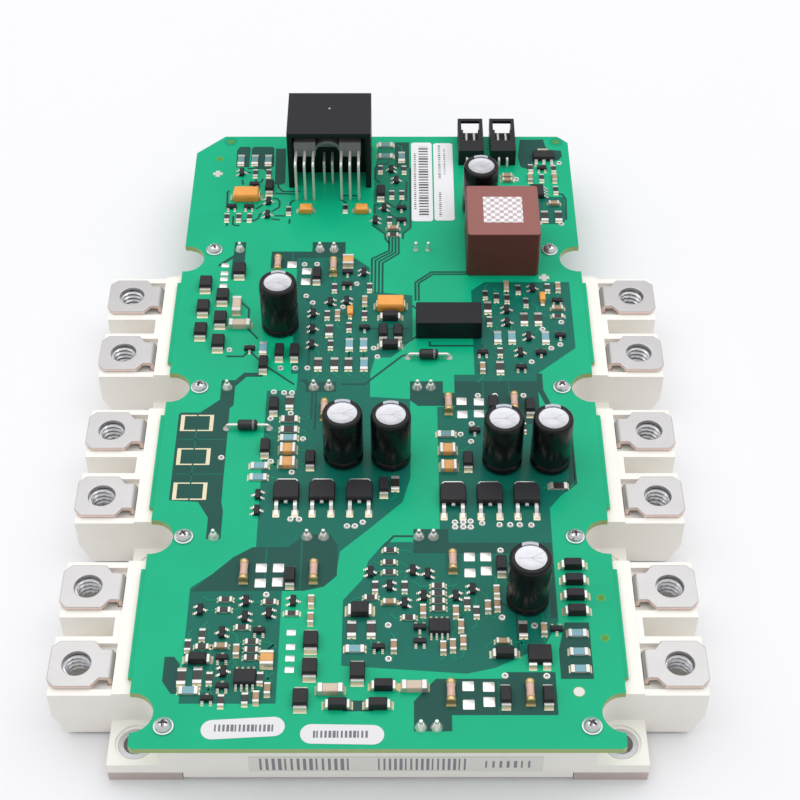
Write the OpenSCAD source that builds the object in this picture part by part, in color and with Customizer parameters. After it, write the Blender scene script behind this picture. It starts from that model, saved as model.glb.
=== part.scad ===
// Six-pack power module with its gate driver board on top.
// X runs across the module, Y along the board, Z up from the mounting surface.
// The origin is the centre of the base plate's underside.

/* [Base plate] */
// Distance between the two rows of mounting holes
mount_dx = 110; // [108:1:114]
// Pitch of the mounting holes along each row
mount_dy = 50; // [49:0.5:54]
// Distance from the outer holes to the edges of the plate
mount_edge = 6; // [6:0.5:8]
// Diameter of the mounting holes
mount_d = 5.5; // [4.8:0.1:6]
// Thickness of the plate
base_t = 3; // [2:0.5:5]

/* [Housing] */
// Height of the walls above the plate
wall_h = 13.4; // [12.8:0.2:18]
// Height of the fixing lugs above the plate
lug_h = 3; // [2:0.5:4]
// Radius of the half-round wells above the lugs
well_r = 6; // [5.6:0.2:6.4]
// Wall of the fixing bushes
bush_wall = 1.2; // [0.8:0.1:1.4]
// Depth of the ring sunk around each bush
ring_depth = 0.6; // [0.3:0.1:1]
// Thickness of the ribs between the chip pockets
rib_t = 6; // [5:0.5:8]
// Thickness of the walls at the two ends, beside the chip pockets
end_wall_t = 9; // [8:0.5:10]
// Thickness of the lid over the chip pockets
lid_t = 1.6; // [1:0.1:2]
// Width of the ledge that carries the lid
lid_ledge = 2; // [1.5:0.1:2.4]
// Half width of the skirt that hangs over the plate's end faces
skirt_half = 44; // [38:1:44]
// Thickness of the skirt
skirt_t = 1.6; // [1:0.1:2.4]
// Gap between the skirt's lower edge and the mounting surface
skirt_lift = 1; // [0.5:0.1:2]

/* [Terminal blocks] */
// How far the blocks stand out past the plate
block_out = 13.6; // [13:0.2:15]
// Drop of the block tops below the wall tops
deck_drop = 0.6; // [0.4:0.1:1]
// Height of the slanted lower edge of each block
block_slant_h = 6.4; // [4:0.2:8]
// Depth of the slanted lower edge of each block
block_slant_w = 2.8; // [1.5:0.1:3.5]
// Width of the slot between the two terminals of a block
pair_slot_w = 5.4; // [4.2:0.2:6]
// Depth of the slot between the two terminals of a block
pair_slot_depth = 8.5; // [5:0.5:10]
// Length of the recess at each terminal's neck
neck_recess_l = 4.8; // [4:0.2:5.6]
// Depth of the recess at each terminal's neck
neck_recess_depth = 1.6; // [1.6:0.2:3]

/* [Power terminals] */
// Pitch of the two terminals of a block
terminal_pitch = 22; // [20:0.5:23]
// Distance from the plate's edge to the terminal holes
terminal_hole_out = 7.7; // [7.4:0.1:8]
// Diameter of the terminal holes
terminal_hole_d = 6.5; // [6.2:0.1:7]
// Width of the terminal plates
terminal_w = 12.6; // [11.4:0.2:13]
// Thickness of the terminal strip
terminal_t = 1.2; // [0.8:0.1:1.5]
// How far the terminal plates reach past the blocks
terminal_over = 0.4; // [0.2:0.1:0.8]
// Width of the neck that goes down into the housing
neck_w = 8; // [6:0.5:9]
// Width across the flats of the nuts under the terminals
nut_af = 10; // [9:0.1:10.4]
// Height of the nuts under the terminals
nut_h = 5; // [4:0.2:5.4]
// Bore of the nuts
nut_bore_d = 6; // [5.8:0.1:6.2]

/* [Circuit board] */
// Width of the board
board_w = 111; // [110:0.5:112]
// Distance from the module's centre to the board's near edge
board_near = 84.3; // [84:0.1:90]
// Distance from the module's centre to the board's far edge
board_far = 130; // [129.5:0.1:131]
// Thickness of the board
board_t = 1.6; // [1.2:0.1:2.4]
// Radius of the notches above the fixing lugs
notch_r = 5.2; // [4.6:0.1:5.4]
// Chamfer of the board's far left corner
corner_left = 8; // [4:0.5:9]
// Chamfer of the board's far right corner
corner_right = 3; // [1:0.5:4]
// Length of the snapped edge strips
strip_l = 31; // [20:1:33]
// Width of the snapped edge strips
strip_w = 1; // [0.4:0.1:1.4]
// Height of the snapped edge strips
strip_h = 0.8; // [0.4:0.1:1]
// Head diameter of the board screws
screw_head_d = 4.6; // [4:0.1:5]
// Head height of the board screws
screw_head_h = 2; // [1.6:0.1:2.6]
// Thread diameter of the board screws
screw_d = 2.2; // [1.8:0.1:2.4]
// Thread length of the board screws
screw_l = 8; // [5:0.5:10]
// Diameter of the gate pins
pin_d = 1; // [0.8:0.1:1.2]
// Height of the gate pins above the board
pin_above = 2.8; // [1.6:0.1:4]

/* [Tall parts] */
// Diameter of the electrolytic capacitors
can_d = 10; // [8:0.1:10.2]
// Height of the electrolytic capacitors
can_h = 16.3; // [12:0.1:20]
// Thickness of the capacitors' sleeves
sleeve_t = 0.2; // [0.15:0.05:0.3]
// Width of the transformer
transformer_w = 20; // [18:0.5:20.5]
// Depth of the transformer
transformer_l = 20.8; // [18:0.2:21]
// Height of the transformer
transformer_h = 15.2; // [10:0.2:20]
// Width of the small coupler block
coupler_w = 17.6; // [15:0.2:18]
// Depth of the small coupler block
coupler_l = 8.2; // [6:0.2:8.6]
// Height of the small coupler block
coupler_h = 6; // [4:0.2:8]
// Width of the main socket
socket_w = 24; // [22:0.5:25]
// Depth of the main socket
socket_l = 19.2; // [18:0.2:20]
// Height of the main socket
socket_h = 19.7; // [18:0.1:22]
// Wall of the main socket
socket_wall = 1.5; // [1:0.1:1.6]
// Width of the latch headers
header_w = 7.4; // [6.8:0.1:8]
// Height of the latch headers
header_h = 5.4; // [4.8:0.1:7]
// Wall of the latch headers
header_wall = 1; // [0.8:0.1:1.2]
// Thickness of the leads of the tall parts
lead_d = 0.8; // [0.6:0.1:0.9]
// Clearance of the leads in the board's holes
hole_gap = 0.15; // [0.1:0.05:0.25]

/* [Small parts] */
// Length of the small chip parts with their contacts
small_l = 3.1; // [2.6:0.1:3.4]
// Width of the small chip parts
small_w = 1.4; // [1.1:0.1:1.6]
// Length of the middle chip parts with their contacts
middle_l = 4.3; // [3.6:0.1:4.6]
// Width of the middle chip parts
middle_w = 2; // [1.5:0.1:2.2]
// Height of the chip resistors
resistor_h = 0.6; // [0.4:0.1:0.9]
// Height of the small chip capacitors
capacitor_h = 1; // [0.6:0.1:1.4]
// Share of a chip's length that each contact takes
contact_share = 0.2; // [0.15:0.01:0.25]
// Length of the small rectifiers with their contacts
rectifier_l = 5.6; // [5:0.1:6]
// Width of the small rectifiers
rectifier_w = 2.5; // [2.2:0.1:2.8]
// Width of the large rectifiers
rectifier_wide = 3.5; // [3:0.1:3.7]
// Height of the rectifiers
rectifier_h = 2.1; // [1.6:0.1:2.6]
// Length of the small transistors
transistor_l = 2.9; // [2.6:0.1:3.1]
// Width of the small transistors
transistor_w = 1.4; // [1.2:0.1:1.6]
// Height of the small transistors
transistor_h = 1; // [0.8:0.1:1.3]
// Width of the power transistors
power_w = 6.5; // [6:0.1:7]
// Depth of the power transistors
power_l = 6.1; // [5.5:0.1:6.4]
// Height of the power transistors
power_h = 2.3; // [2:0.1:2.8]
// Diameter of the cylinder resistors
melf_d = 2.2; // [1.8:0.1:2.4]
// Length of the cylinder resistors with their caps
melf_l = 5.8; // [5:0.1:6.2]
// Thickness of the labels
label_t = 0.1; // [0.08:0.01:0.3]

/* [Hidden] */
$fn = 48;
base_l = 3 * mount_dy + 2 * mount_edge;
base_w = mount_dx + 2 * mount_edge;
base_x = base_w / 2;
base_y = base_l / 2;
mount_x = mount_dx / 2;
mount_rows = [-1.5 * mount_dy, -0.5 * mount_dy, 0.5 * mount_dy, 1.5 * mount_dy];
pair_rows = [-mount_dy, 0, mount_dy];
sides = [-1, 1];
fit_gap = 0.1;
slip_gap = 0.05;
through = 1;

wall_inset = 1;
wall_x = base_x - wall_inset;
wall_z = base_t + wall_h;
lug_z = base_t + lug_h;
deck_z = wall_z - deck_drop;
block_x = base_x + block_out;
block_l = mount_dy - 2 * well_r;
block_z = skirt_lift;
block_root_x = wall_x - 2;
pair_slot_x = wall_x + 1.5;
plate_gap = 0.2;
bush_d = mount_d + 2 * bush_wall;
ring_gap = 0.7;
ring_d = bush_d + 2 * ring_gap;

// Wall between the screw wells and the board's screws
screw_wall = 1.8;
screw_x = mount_x - well_r - screw_wall;
// Half width of the chip pockets, which keep clear of the board's screws
pocket_wall = 5.2;
pocket_x = screw_x - pocket_wall;
pocket_end = base_y - end_wall_t;
lid_drop = 1.8;
lid_z = wall_z - lid_drop - lid_t;
lid_x = pocket_x + lid_ledge;
lid_y = pocket_end + lid_ledge;

// Height at which the terminal feet lie in the housing
foot_lift = 5;
foot_z = base_t + foot_lift;
// Where the terminal feet end inside the chip pockets
foot_in = 2;
foot_x = pocket_x - foot_in;
leg_gap = 0.2;
leg_x = wall_x + leg_gap;
bend_r = 0.4;
neck_l = 1.4;
terminal_cut = 1.8;
hole_x = base_x + terminal_hole_out;
tip_x = block_x + terminal_over;
terminal_z = deck_z + terminal_t;
nut_drop = 0.2;
nut_z = deck_z - nut_drop - nut_h;
bolt_room = 1;
bolt_hole_d = nut_bore_d + bolt_room;
bolt_hole_depth = 3;

substrate_t = 1;
substrate_gap = 3;
substrate_w = 2 * (pocket_x - substrate_gap);
substrate_l = 38;
chip_t = 0.3;
igbt_size = 12;
diode_size = 9;
chip_pitch = 18;
chip_columns = [-1.5 * chip_pitch, -chip_pitch / 2, chip_pitch / 2, 1.5 * chip_pitch];

seat_z = wall_z;
top_z = seat_z + board_t;
board_x = board_w / 2;
// The near tips of the board, beyond its first notches, end a little further in
board_tip_in = 0.9;
board_tip_x = board_x - board_tip_in;
board_tip_cut = 0.8;
strip_z = seat_z + (board_t - strip_h) / 2;
screw_out = 3.6;
screw_end = mount_rows[3] + screw_out;
screw_rows = [-screw_end, mount_rows[1], mount_rows[2], screw_end];
screw_room = 0.6;
screw_hole_d = screw_d + screw_room;
screw_top_share = 0.6;
slot_w = 0.7;
slot_l = 2.6;

// Columns of the gate pins, and the two that the near end has
pin_columns = [-40, -17.5, -13.5, 9.5, 13];
pin_near_columns = [9.5, 13];
pin_out = 3.8;
pin_end = mount_rows[3] + pin_out;
pin_foot_z = base_t + foot_lift;
pin_places = concat(
  [for (x = pin_columns, y = [mount_rows[1], mount_rows[2], pin_end]) [x, y]],
  [for (x = pin_near_columns) [x, -pin_end]]
);
solder_r = 1.4;
solder_share = 0.6;
solder_h = solder_share * pin_above;
solder_top_wall = 0.1;

transformer_at = [33.4, 78.3];
transformer_pin_x = [-7.5, -2.5, 2.5, 7.5];
transformer_pin_y = 8.2;
transformer_cut = 0.6;
coupler_at = [18.1, 47.1];
coupler_pin_x = [-7, -4.5, 4.5, 7];
coupler_pin_y = 2.8;
lead_below = 1;

can_places = [[-27.2, 48], [-9.2, 1], [2.7, 0.5], [30.5, -0.7], [42.5, -0.7], [34.7, -44], [28, 96.4]];
can_lead_pitch = 5;
sleeve_rim = 1.3;

socket_at = [-15.3, 106];
socket_back = 7;
socket_web = 3;
socket_floor = 2.4;
socket_lead_z = 12.8;
socket_lead_out = 5.3;
socket_lead_in = 4;
socket_inner_x = [-1.7, 0.7];
socket_inner_y = 2.4;
socket_inner_h = 7.3;
socket_inner_w = socket_w - 2 * socket_wall;
socket_boss_w = 6.2;
boss_gap_left = 0.4;
boss_gap_right = 1.4;
socket_boss_x = [
  boss_gap_left + (socket_boss_w - socket_inner_w) / 2,
  (socket_inner_w - socket_boss_w) / 2 - boss_gap_right
];
// Three leads through each boss
socket_lead_pitch = 2.5;
socket_lead_x = [for (x = socket_boss_x, k = [-1, 0, 1]) x + k * socket_lead_pitch];
socket_boss_h = 5;
arch_r = 3.4;
arch_wall = 1;
arch_l = 5;
boss_inset = 0.6;
boss_drop = socket_boss_h / 3;
boss_bar_t = 2;

header_at = [[26.1, 116.4], [35.55, 116.4]];
header_l = 15.4;
header_back = 5;
header_shoulder = 4.4;
header_shoulder_l = 5;
header_bar = 1.2;
header_floor = 1.4;
header_pin_pitch = 2.4;
header_pin_l = 12;
header_pin_out = 0.6;

// Places of the small parts: X, Y and a turn in degrees, on the board's top
transistor_places = [
  [-41.5, 112.5, 270], [-33, 99.5, 270], [-33, 93.5, 270], [-43.5, 97, 0], [-38.5, 97, 0],
  [-37.5, 107, 0], [2.5, 114, 90], [4, 109, 270], [0.5, 96.5, 90], [5.5, 96.5, 180],
  [-2, 91, 90], [5.5, 91, 0], [-9.5, 69, 180], [-5, 69, 270], [-9.5, 64, 0],
  [-14, 57, 90], [-9.5, 57.5, 90], [-18.5, 52.5, 270], [-18.5, 46.5, 270], [-18.5, 40.5, 270],
  [-4.5, 47, 180], [-35, 39, 180], [41.5, 62.5, 270], [34, 54, 270], [34, 49, 270],
  [48, 57.5, 0], [39.5, 43.5, 270], [48, 44, 180], [27, 37.5, 0], [37, 37.5, 270],
  [42.5, 37.5, 180], [37, 32, 0], [47, 114.5, 0], [-30, -12, 90], [24, 9.5, 180],
  [-30, -17, 270], [-41.5, -47, 270], [-31, -44.5, 270], [-31, -49, 90], [-25.5, -48, 90],
  [-20, -44.5, 270], [-2, -36, 270], [8, -35.5, 90], [11.5, -36.5, 90], [2.5, -40, 90],
  [6, -45, 90], [10.5, -43, 270], [18, -43, 90], [22, -41, 270], [-36, -53.5, 90],
  [-27.5, -53, 0], [-35.5, -60.5, 0], [-35, -64.2, 270], [-35, -68.2, 0], [-38.2, -71.5, 0],
  [0, -57.5, 0], [9.5, -52, 180], [9.5, -56, 0], [41, -52.5, 180]
];
small_resistor_places = [
  [-37.5, 112.3, 90], [-33.6, 112.3, 90], [-27, 95.5, 90], [-10.7, 96.5, 90], [-0.7, 114.2, 90],
  [6.3, 114, 90], [2.7, 102.7, 90], [5.6, 102.7, 90], [43.7, 114.7, 90], [50.5, 114.3, 90],
  [50.5, 104.7, 90], [46.7, 110.2, 90], [-44.6, 92.5, 90], [-41.2, 92.5, 90], [-38.1, 92.5, 90],
  [2.1, 91, 90], [-13, 62.8, 90], [-3.3, 63, 90], [37.5, 62.2, 90], [45.6, 62.8, 90],
  [28.4, 60, 90], [31.4, 59, 90], [34.3, 58.5, 90], [-14.7, 52, 90], [-4.6, 52, 90],
  [-8.7, 47.4, 90], [-13.5, 40.6, 90], [39.4, 57, 90], [29.2, 49.7, 90], [31.6, 37.7, 90],
  [36.5, 10.5, 90], [-0.9, -40.2, 90], [6, -40.2, 90], [-40.5, -54, 90], [-43.6, -57, 90],
  [-38, -66, 90], [-26.6, -66, 90], [-29.7, -71.5, 90], [-35, -72, 90], [3.1, 84.8, 0],
  [-35.8, -44, 0], [-36, -47, 0], [-25.5, -44.7, 0], [-20.2, -48, 0], [2.6, -29.3, 0],
  [2.4, -33, 0], [2.4, -36, 0], [-1.9, -43.4, 0], [7, -49.2, 0], [-31.5, -52, 0],
  [22.7, -47.5, 90], [20.6, -45, 90], [47.8, 51.5, 0], [13.9, -40, 0], [13.9, -42.2, 0],
  [13.9, -44.4, 0], [13.9, -46.6, 0], [-29, -56, 0], [-29, -58.2, 0], [-29, -60.4, 0],
  [-40.3, -57.4, 0]
];
small_capacitor_places = [
  [34.3, 63.5, 90], [48.5, 63, 90], [-4.6, 57.5, 90], [-11.9, 52, 90], [26.8, 32, 90],
  [10.3, -47.2, 90], [17.9, -47.5, 90], [-15.8, -44.5, 90], [-15.8, -49.5, 90], [27.6, -41.6, 90],
  [27.6, -45.5, 90], [25.4, -46, 90], [-32.4, -58.5, 90], [-24.8, -69, 90], [-27.2, -71.2, 90],
  [3.5, -57.2, 90], [17, -57, 90], [14.8, -57.6, 90], [43.3, 110, 90], [50.5, 110, 90],
  [19.4, -56, 90], [38.1, -52.5, 90], [3.1, 87.6, 0], [47.9, 54.5, 0], [2.5, -44.8, 0],
  [28.5, -56, 0], [-36, -57.3, 0], [49.6, 98.5, 0], [36.6, 111, 0], [36.6, 109, 0],
  [19, -51.5, 90]
];
middle_resistor_places = [
  [-42.1, 118.5, 90], [-38, 118.5, 90], [-34, 118.5, 90], [5.6, 120, 90], [46.6, 93, 90],
  [50.6, 93, 90], [-14, 46, 90], [-16.6, 33.4, 90], [-12.3, 33.4, 90], [-8.6, 33.4, 90],
  [28.9, 55, 90], [38.6, 50.6, 90], [42.4, 50.6, 90], [31.4, 32.1, 90], [-23.5, 19.5, 90],
  [3.8, -8.2, 90], [-44.3, -65.6, 90], [-40.7, -65.3, 90], [-6.2, -52.4, 90], [-1.7, -52.4, 90],
  [33.3, -52.5, 90], [0.8, 125.6, 0], [0.8, 120.3, 0], [-23.3, 13.5, 0], [-23.3, 9.9, 0],
  [44.2, -9.1, 0]
];
blue_resistor_places = [
  [-31.4, 39.3, 90], [-8.5, 40.7, 90], [-4.7, 40.8, 90], [-4.5, 33.4, 90], [31.2, 43.5, 90],
  [35, 43.5, 90], [44, 43.4, 90], [-23.3, 7, 0], [-30.2, -2.4, 0], [-30.3, -6.2, 0],
  [16.7, 8.3, 0], [-42.5, -69.3, 0], [-5.4, -58, 0], [45.7, -53.6, 0], [45.7, -58.8, 0],
  [45.7, -63.5, 0]
];
large_capacitor_places = [
  [-23.3, 2.9, 0], [-23.2, -1.7, 0], [17, 2.8, 0], [17.2, -2.8, 0], [-9.4, 73.5, 90], [-25.3, -61, 90]
];
large_l = 4;
large_w = 3;
large_h = 1.5;
long_capacitor_places = [[-39.4, 55.3, 90], [-38.2, 48, 0], [-10.7, -69.3, 0], [8.1, -68.5, 0]];
long_l = 5.9;
long_w = 2.3;
long_h = 1.7;
melf_places = [
  [-29, 72, 90], [-13.5, 71, 90], [-14.5, 16.5, 90], [17.5, 18.5, 90], [34.5, 19, 90],
  [-32, -36, 90], [-15.5, -36, 90], [17.5, -33, 90], [16.3, -70, 90], [34, -70, 90]
];
melf_cap_l = 1.2;
small_rectifier_places = [
  [-33, 105.5, 90], [-0.5, 103, 90], [-31, 33, 90], [-27, 37.5, 90], [-23, 37.5, 90],
  [-27.5, 18, 90], [-29, 3.5, 90], [-17.5, -0.5, 90], [1, -9.5, 90], [29, 18.5, 90],
  [38.5, 17.5, 90], [22, -1, 90], [-18, 67.5, 90], [-21, -37.5, 90], [29, -34, 90],
  [28.5, -71, 90], [38, -71, 90], [0.5, 45, 90], [4.5, 45, 90], [2.4, 51, 0], [2.4, 40, 0],
  [46, -34, 0], [46, -38.5, 0], [46, -43, 0], [46, -47.5, 0], [-41, -61, 0], [1.2, -68.2, 0],
  [-9, -73.2, 0], [0, -73.2, 0], [28.8, -59.5, 0]
];
large_rectifier_places = [
  [-48.5, 64, 90], [-48.5, 54.5, 90], [-48.5, 45.5, 90], [-43.5, 59, 90], [-43.5, 50, 90],
  [-43.5, 41, 90], [-39.5, 69.5, 90], [-15.5, -56, 90], [-15.5, -63.5, 90], [-17.3, -71.7, 90],
  [-4.7, -64.6, 90], [-4.4, -47.3, 0]
];
rectifier_body_share = 0.76;
rectifier_contact_share = 0.84;
twin_contact_w = 1.8;
rectifier_contact_h = 1.1;
// Twin rectifier with two contacts on its near side
twin_at = [36.7, -60];
twin_w = 5.5;
twin_l = 4.6;
twin_contact_x = [-1.7, 1.5];
twin_contact_l = 0.8;
power_places = [[-23, -11.4], [-14.2, -11.4], [-5, -11.4], [18, -12.3], [27, -12.3], [36, -12.3]];
power_lead_pitch = 4.6;
power_lead_l = 4;
power_lead_w = 0.9;
power_tab_w = 5.4;
power_tab_l = 1.6;
power_tab_t = 0.5;
power_tab_share = 0.75;
tantalum_places = [
  [-39.5, 101.5, 0, 7.3, 4.3, 2.7], [2.5, 55.5, 0, 7.3, 4.3, 2.7],
  [-22, 95.5, 0, 3.5, 2.8, 1.9], [-6, 95.5, 0, 3.5, 2.8, 1.9],
  [-8.5, 53, 90, 3.2, 1.7, 1.6], [44, 58.5, 90, 3.2, 1.7, 1.6]
];
tantalum_contact_t = 0.3;
tantalum_contact_w_share = 0.6;
tantalum_contact_h_share = 0.5;
axial_places = [[-33.8, 10.5], [12.6, 36]];
axial_d = 2.7;
axial_l = 5;
axial_foot = 5.45;
// Centre and turn of the small-outline chips
outline_places = [[14, -52, 0], [-30, -66, 0], [45, 103.5, 90]];
outline_l = 5;
outline_w = 3.9;
outline_h = 1.5;
outline_pitch = 1.27;
outline_lead_w = 0.5;
outline_lead_l = 1;
regulator_at = [47.8, 119.9];
regulator_w = 6.5;
regulator_l = 3.5;
regulator_h = 1.6;
regulator_pitch = 2.3;
regulator_lead_w = 0.9;
regulator_lead_l = 2;
regulator_tab_w = 3.1;
lead_t = 0.4;
transistor_lift = 0.1;
transistor_lead_l = 0.7;
transistor_lead_w = 0.5;
transistor_lead_pitch = 1.9;

// Labels on the board: centre, size and turn
label_places = [
  [11.5, 109, 6.2, 36, 0], [17.9, 109, 5.8, 35.4, 0],
  [-29.7, -79, 13.5, 5, 3.5], [-7.8, -80.6, 13.5, 5, -1]
];
front_label_x = [-29, 37];
front_label_z = [3.6, 9.6];

// A block centred on X and Y that stands on its lowest face
module block(size) {
  translate([-size.x / 2, -size.y / 2, 0]) cube(size);
}

// A block centred on X only
module block_from(size) {
  translate([-size.x / 2, 0, 0]) cube(size);
}

// Children at each mounting hole
module at_mounts() {
  for (s = sides, y = mount_rows) translate([s * mount_x, y, 0]) children();
}

// Children at each part of a list of X, Y and turn, on the board's top
module on_board(places) {
  for (p = places) translate([p[0], p[1], top_z]) rotate(p[2]) children();
}

module base_plate() {
  color([0.72, 0.58, 0.52]) difference() {
    translate([-base_x, -base_y, 0]) cube([base_w, base_l, base_t]);
    at_mounts() translate([0, 0, -through]) cylinder(d = mount_d, h = base_t + 2 * through);
    for (s = sides) translate([0, s * base_y, -through])
      block([2 * (skirt_half + plate_gap), 2 * (skirt_t + plate_gap), base_t + 2 * through]);
  }
}

// Plan of the walls: a rectangle with a half-round well at each lug
module wall_plan() {
  difference() {
    square([2 * wall_x, base_l], center = true);
    for (s = sides, y = mount_rows) translate([s * mount_x, y]) {
      circle(r = well_r);
      translate([s > 0 ? 0 : -2 * mount_edge, -well_r]) square([2 * mount_edge, 2 * well_r]);
    }
    for (s = sides, e = sides) translate([s * mount_x, e * mount_rows[3]])
      translate([s > 0 ? -well_r : -2 * mount_edge, e > 0 ? 0 : -2 * mount_edge])
        square([well_r + 2 * mount_edge, 2 * mount_edge]);
  }
}

// Section of a terminal block from the wall to its outer face, on the right side
module block_section() {
  polygon([
    [block_root_x, base_t], [base_x + plate_gap, base_t], [base_x + plate_gap, block_z],
    [block_x - block_slant_w, block_z], [block_x, block_z + block_slant_h], [block_x, deck_z],
    [block_root_x, deck_z]
  ]);
}

// A terminal's strip below its plate, grown by a gap on every side: bend, leg and foot
module terminal_leg(gap) {
  outer_r = bend_r + terminal_t;
  width = neck_w + 2 * gap;
  bend_z = terminal_z - outer_r;
  translate([leg_x - gap, -width / 2, foot_z - gap])
    cube([terminal_t + 2 * gap, width, bend_z - foot_z + 2 * gap]);
  translate([foot_x - gap, -width / 2, foot_z - gap])
    cube([leg_x + terminal_t - foot_x + 2 * gap, width, terminal_t + 2 * gap]);
  intersection() {
    translate([leg_x + outer_r, width / 2, bend_z]) rotate([90, 0, 0]) difference() {
      cylinder(r = outer_r + gap, h = width);
      translate([0, 0, -through]) cylinder(r = bend_r - gap, h = width + 2 * through);
    }
    translate([leg_x - gap, -width / 2, bend_z]) cube([outer_r + gap, width, outer_r + gap]);
  }
}

// One terminal, its hole on the Y axis of its own frame, with its plate on the right
module terminal() {
  neck_x = leg_x + bend_r + terminal_t;
  plate_x = neck_x + neck_l;
  half = terminal_w / 2;
  cut = terminal_cut;
  color([0.8, 0.79, 0.78]) {
    difference() {
      translate([0, 0, deck_z]) linear_extrude(terminal_t) polygon([
        [neck_x, -neck_w / 2], [plate_x, -neck_w / 2], [plate_x + cut, -half], [tip_x - cut, -half],
        [tip_x, cut - half], [tip_x, half - cut], [tip_x - cut, half], [plate_x + cut, half],
        [plate_x, neck_w / 2], [neck_x, neck_w / 2]
      ]);
      translate([hole_x, 0, deck_z - through]) cylinder(d = terminal_hole_d, h = terminal_t + 2 * through);
    }
    terminal_leg(0);
  }
}

// Children at a terminal's place: six on the left, then six on the right, from the near end
module at_terminal(n) {
  row = n % 6;
  side = n < 6 ? -1 : 1;
  y = pair_rows[floor(row / 2)] + (row % 2 - 0.5) * terminal_pitch;
  translate([0, y, 0]) rotate(side < 0 ? 180 : 0) children();
}

// A six-sided prism of a width across its flats, one of them facing X
module hexagon(flats, height) {
  rotate(30) cylinder(d = flats / cos(30), h = height, $fn = 6);
}

module terminal_nuts() {
  color([0.75, 0.75, 0.77]) for (n = [0:11]) at_terminal(n) translate([hole_x, 0, nut_z]) difference() {
    hexagon(nut_af, nut_h);
    translate([0, 0, -through]) cylinder(d = nut_bore_d, h = nut_h + 2 * through);
  }
}

// What a terminal needs cut from its block: leg slot, neck recess, nut pocket and bolt hole
module terminal_cuts() {
  terminal_leg(fit_gap);
  translate([leg_x + terminal_t / 2, -neck_w / 2 - fit_gap, foot_z])
    cube([terminal_t / 2 + fit_gap, neck_w + 2 * fit_gap, wall_z]);
  translate([leg_x - fit_gap, -terminal_w / 2, deck_z - neck_recess_depth])
    cube([neck_recess_l, terminal_w, neck_recess_depth + through]);
  translate([hole_x, 0, nut_z]) hexagon(nut_af + 2 * fit_gap, wall_z);
  translate([hole_x, 0, nut_z - bolt_hole_depth]) cylinder(d = bolt_hole_d, h = bolt_hole_depth + through);
}

// The walls, lugs and terminal blocks in one piece
module housing_frame() {
  color([0.95, 0.94, 0.91]) difference() {
    union() {
      translate([-base_x, -base_y, base_t]) cube([base_w, base_l, lug_h]);
      translate([0, 0, base_t]) linear_extrude(wall_h) wall_plan();
      for (s = sides, y = pair_rows) translate([0, y, 0]) rotate(s < 0 ? 180 : 0)
        translate([0, block_l / 2, 0]) rotate([90, 0, 0]) linear_extrude(block_l) block_section();
      for (s = sides) translate([0, s * (base_y - skirt_t / 2), skirt_lift])
        block([2 * skirt_half, skirt_t, lug_z - skirt_lift]);
    }
    at_mounts() {
      translate([0, 0, base_t - through]) cylinder(d = bush_d + 2 * slip_gap, h = lug_h + 2 * through);
      translate([0, 0, lug_z - ring_depth]) cylinder(d = ring_d, h = ring_depth + through);
    }
    translate([0, 0, base_t - through]) block([2 * pocket_x, 2 * pocket_end, wall_h + 2 * through]);
    translate([-lid_x, -lid_y, lid_z]) cube([2 * lid_x, 2 * lid_y, wall_h]);
    for (n = [0:11]) at_terminal(n) terminal_cuts();
    for (s = sides, y = pair_rows) translate([s * (pair_slot_x + block_out), y, deck_z - pair_slot_depth])
      block([2 * block_out, pair_slot_w, pair_slot_depth + through]);
    for (s = sides, y = screw_rows) translate([s * screw_x, y, seat_z - screw_l])
      cylinder(d = screw_d + 2 * slip_gap, h = screw_l + through);
    for (p = pin_places) translate([p[0], p[1], pin_foot_z]) cylinder(d = pin_d + 2 * fit_gap, h = wall_h);
  }
}

// The lid over the chip pockets, and the two ribs under it that part them
module housing_lid() {
  color([0.9, 0.89, 0.86]) difference() {
    union() {
      translate([0, 0, lid_z]) block([2 * (lid_x - plate_gap), 2 * (lid_y - plate_gap), lid_t]);
      for (s = sides) translate([0, s * mount_dy / 2, base_t])
        block([2 * (pocket_x - slip_gap), rib_t, lid_z - base_t - slip_gap]);
    }
    for (p = pin_places) translate([p[0], p[1], base_t]) cylinder(d = 2 * pin_d, h = wall_h);
  }
}

module mounting_bushes() {
  color([0.7, 0.68, 0.64]) at_mounts() translate([0, 0, base_t]) difference() {
    cylinder(d = bush_d, h = lug_h - ring_depth);
    translate([0, 0, -through]) cylinder(d = mount_d, h = lug_h + 2 * through);
  }
}

module substrates() {
  color([0.93, 0.92, 0.9]) for (y = pair_rows)
    translate([0, y, base_t]) block([substrate_w, substrate_l, substrate_t]);
}

// Dies in two columns of each substrate, in two rows
module dies(columns, size) {
  for (y = pair_rows, x = columns, r = sides)
    translate([x, y + r * substrate_l / 4, base_t + substrate_t]) block([size, size, chip_t]);
}

module igbt_chips() {
  color([0.35, 0.36, 0.4]) dies([chip_columns[0], chip_columns[2]], igbt_size);
}

module diode_chips() {
  color([0.45, 0.45, 0.48]) dies([chip_columns[1], chip_columns[3]], diode_size);
}

module gate_pins() {
  color([0.8, 0.78, 0.72]) for (p = pin_places)
    translate([p[0], p[1], pin_foot_z]) cylinder(d = pin_d, h = top_z + pin_above - pin_foot_z);
}

module pin_solder() {
  color([0.82, 0.83, 0.84]) for (p = pin_places) translate([p[0], p[1], top_z]) difference() {
    cylinder(r1 = solder_r, r2 = pin_d / 2 + solder_top_wall, h = solder_h);
    translate([0, 0, -through]) cylinder(d = pin_d, h = solder_h + 2 * through);
  }
}

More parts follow.
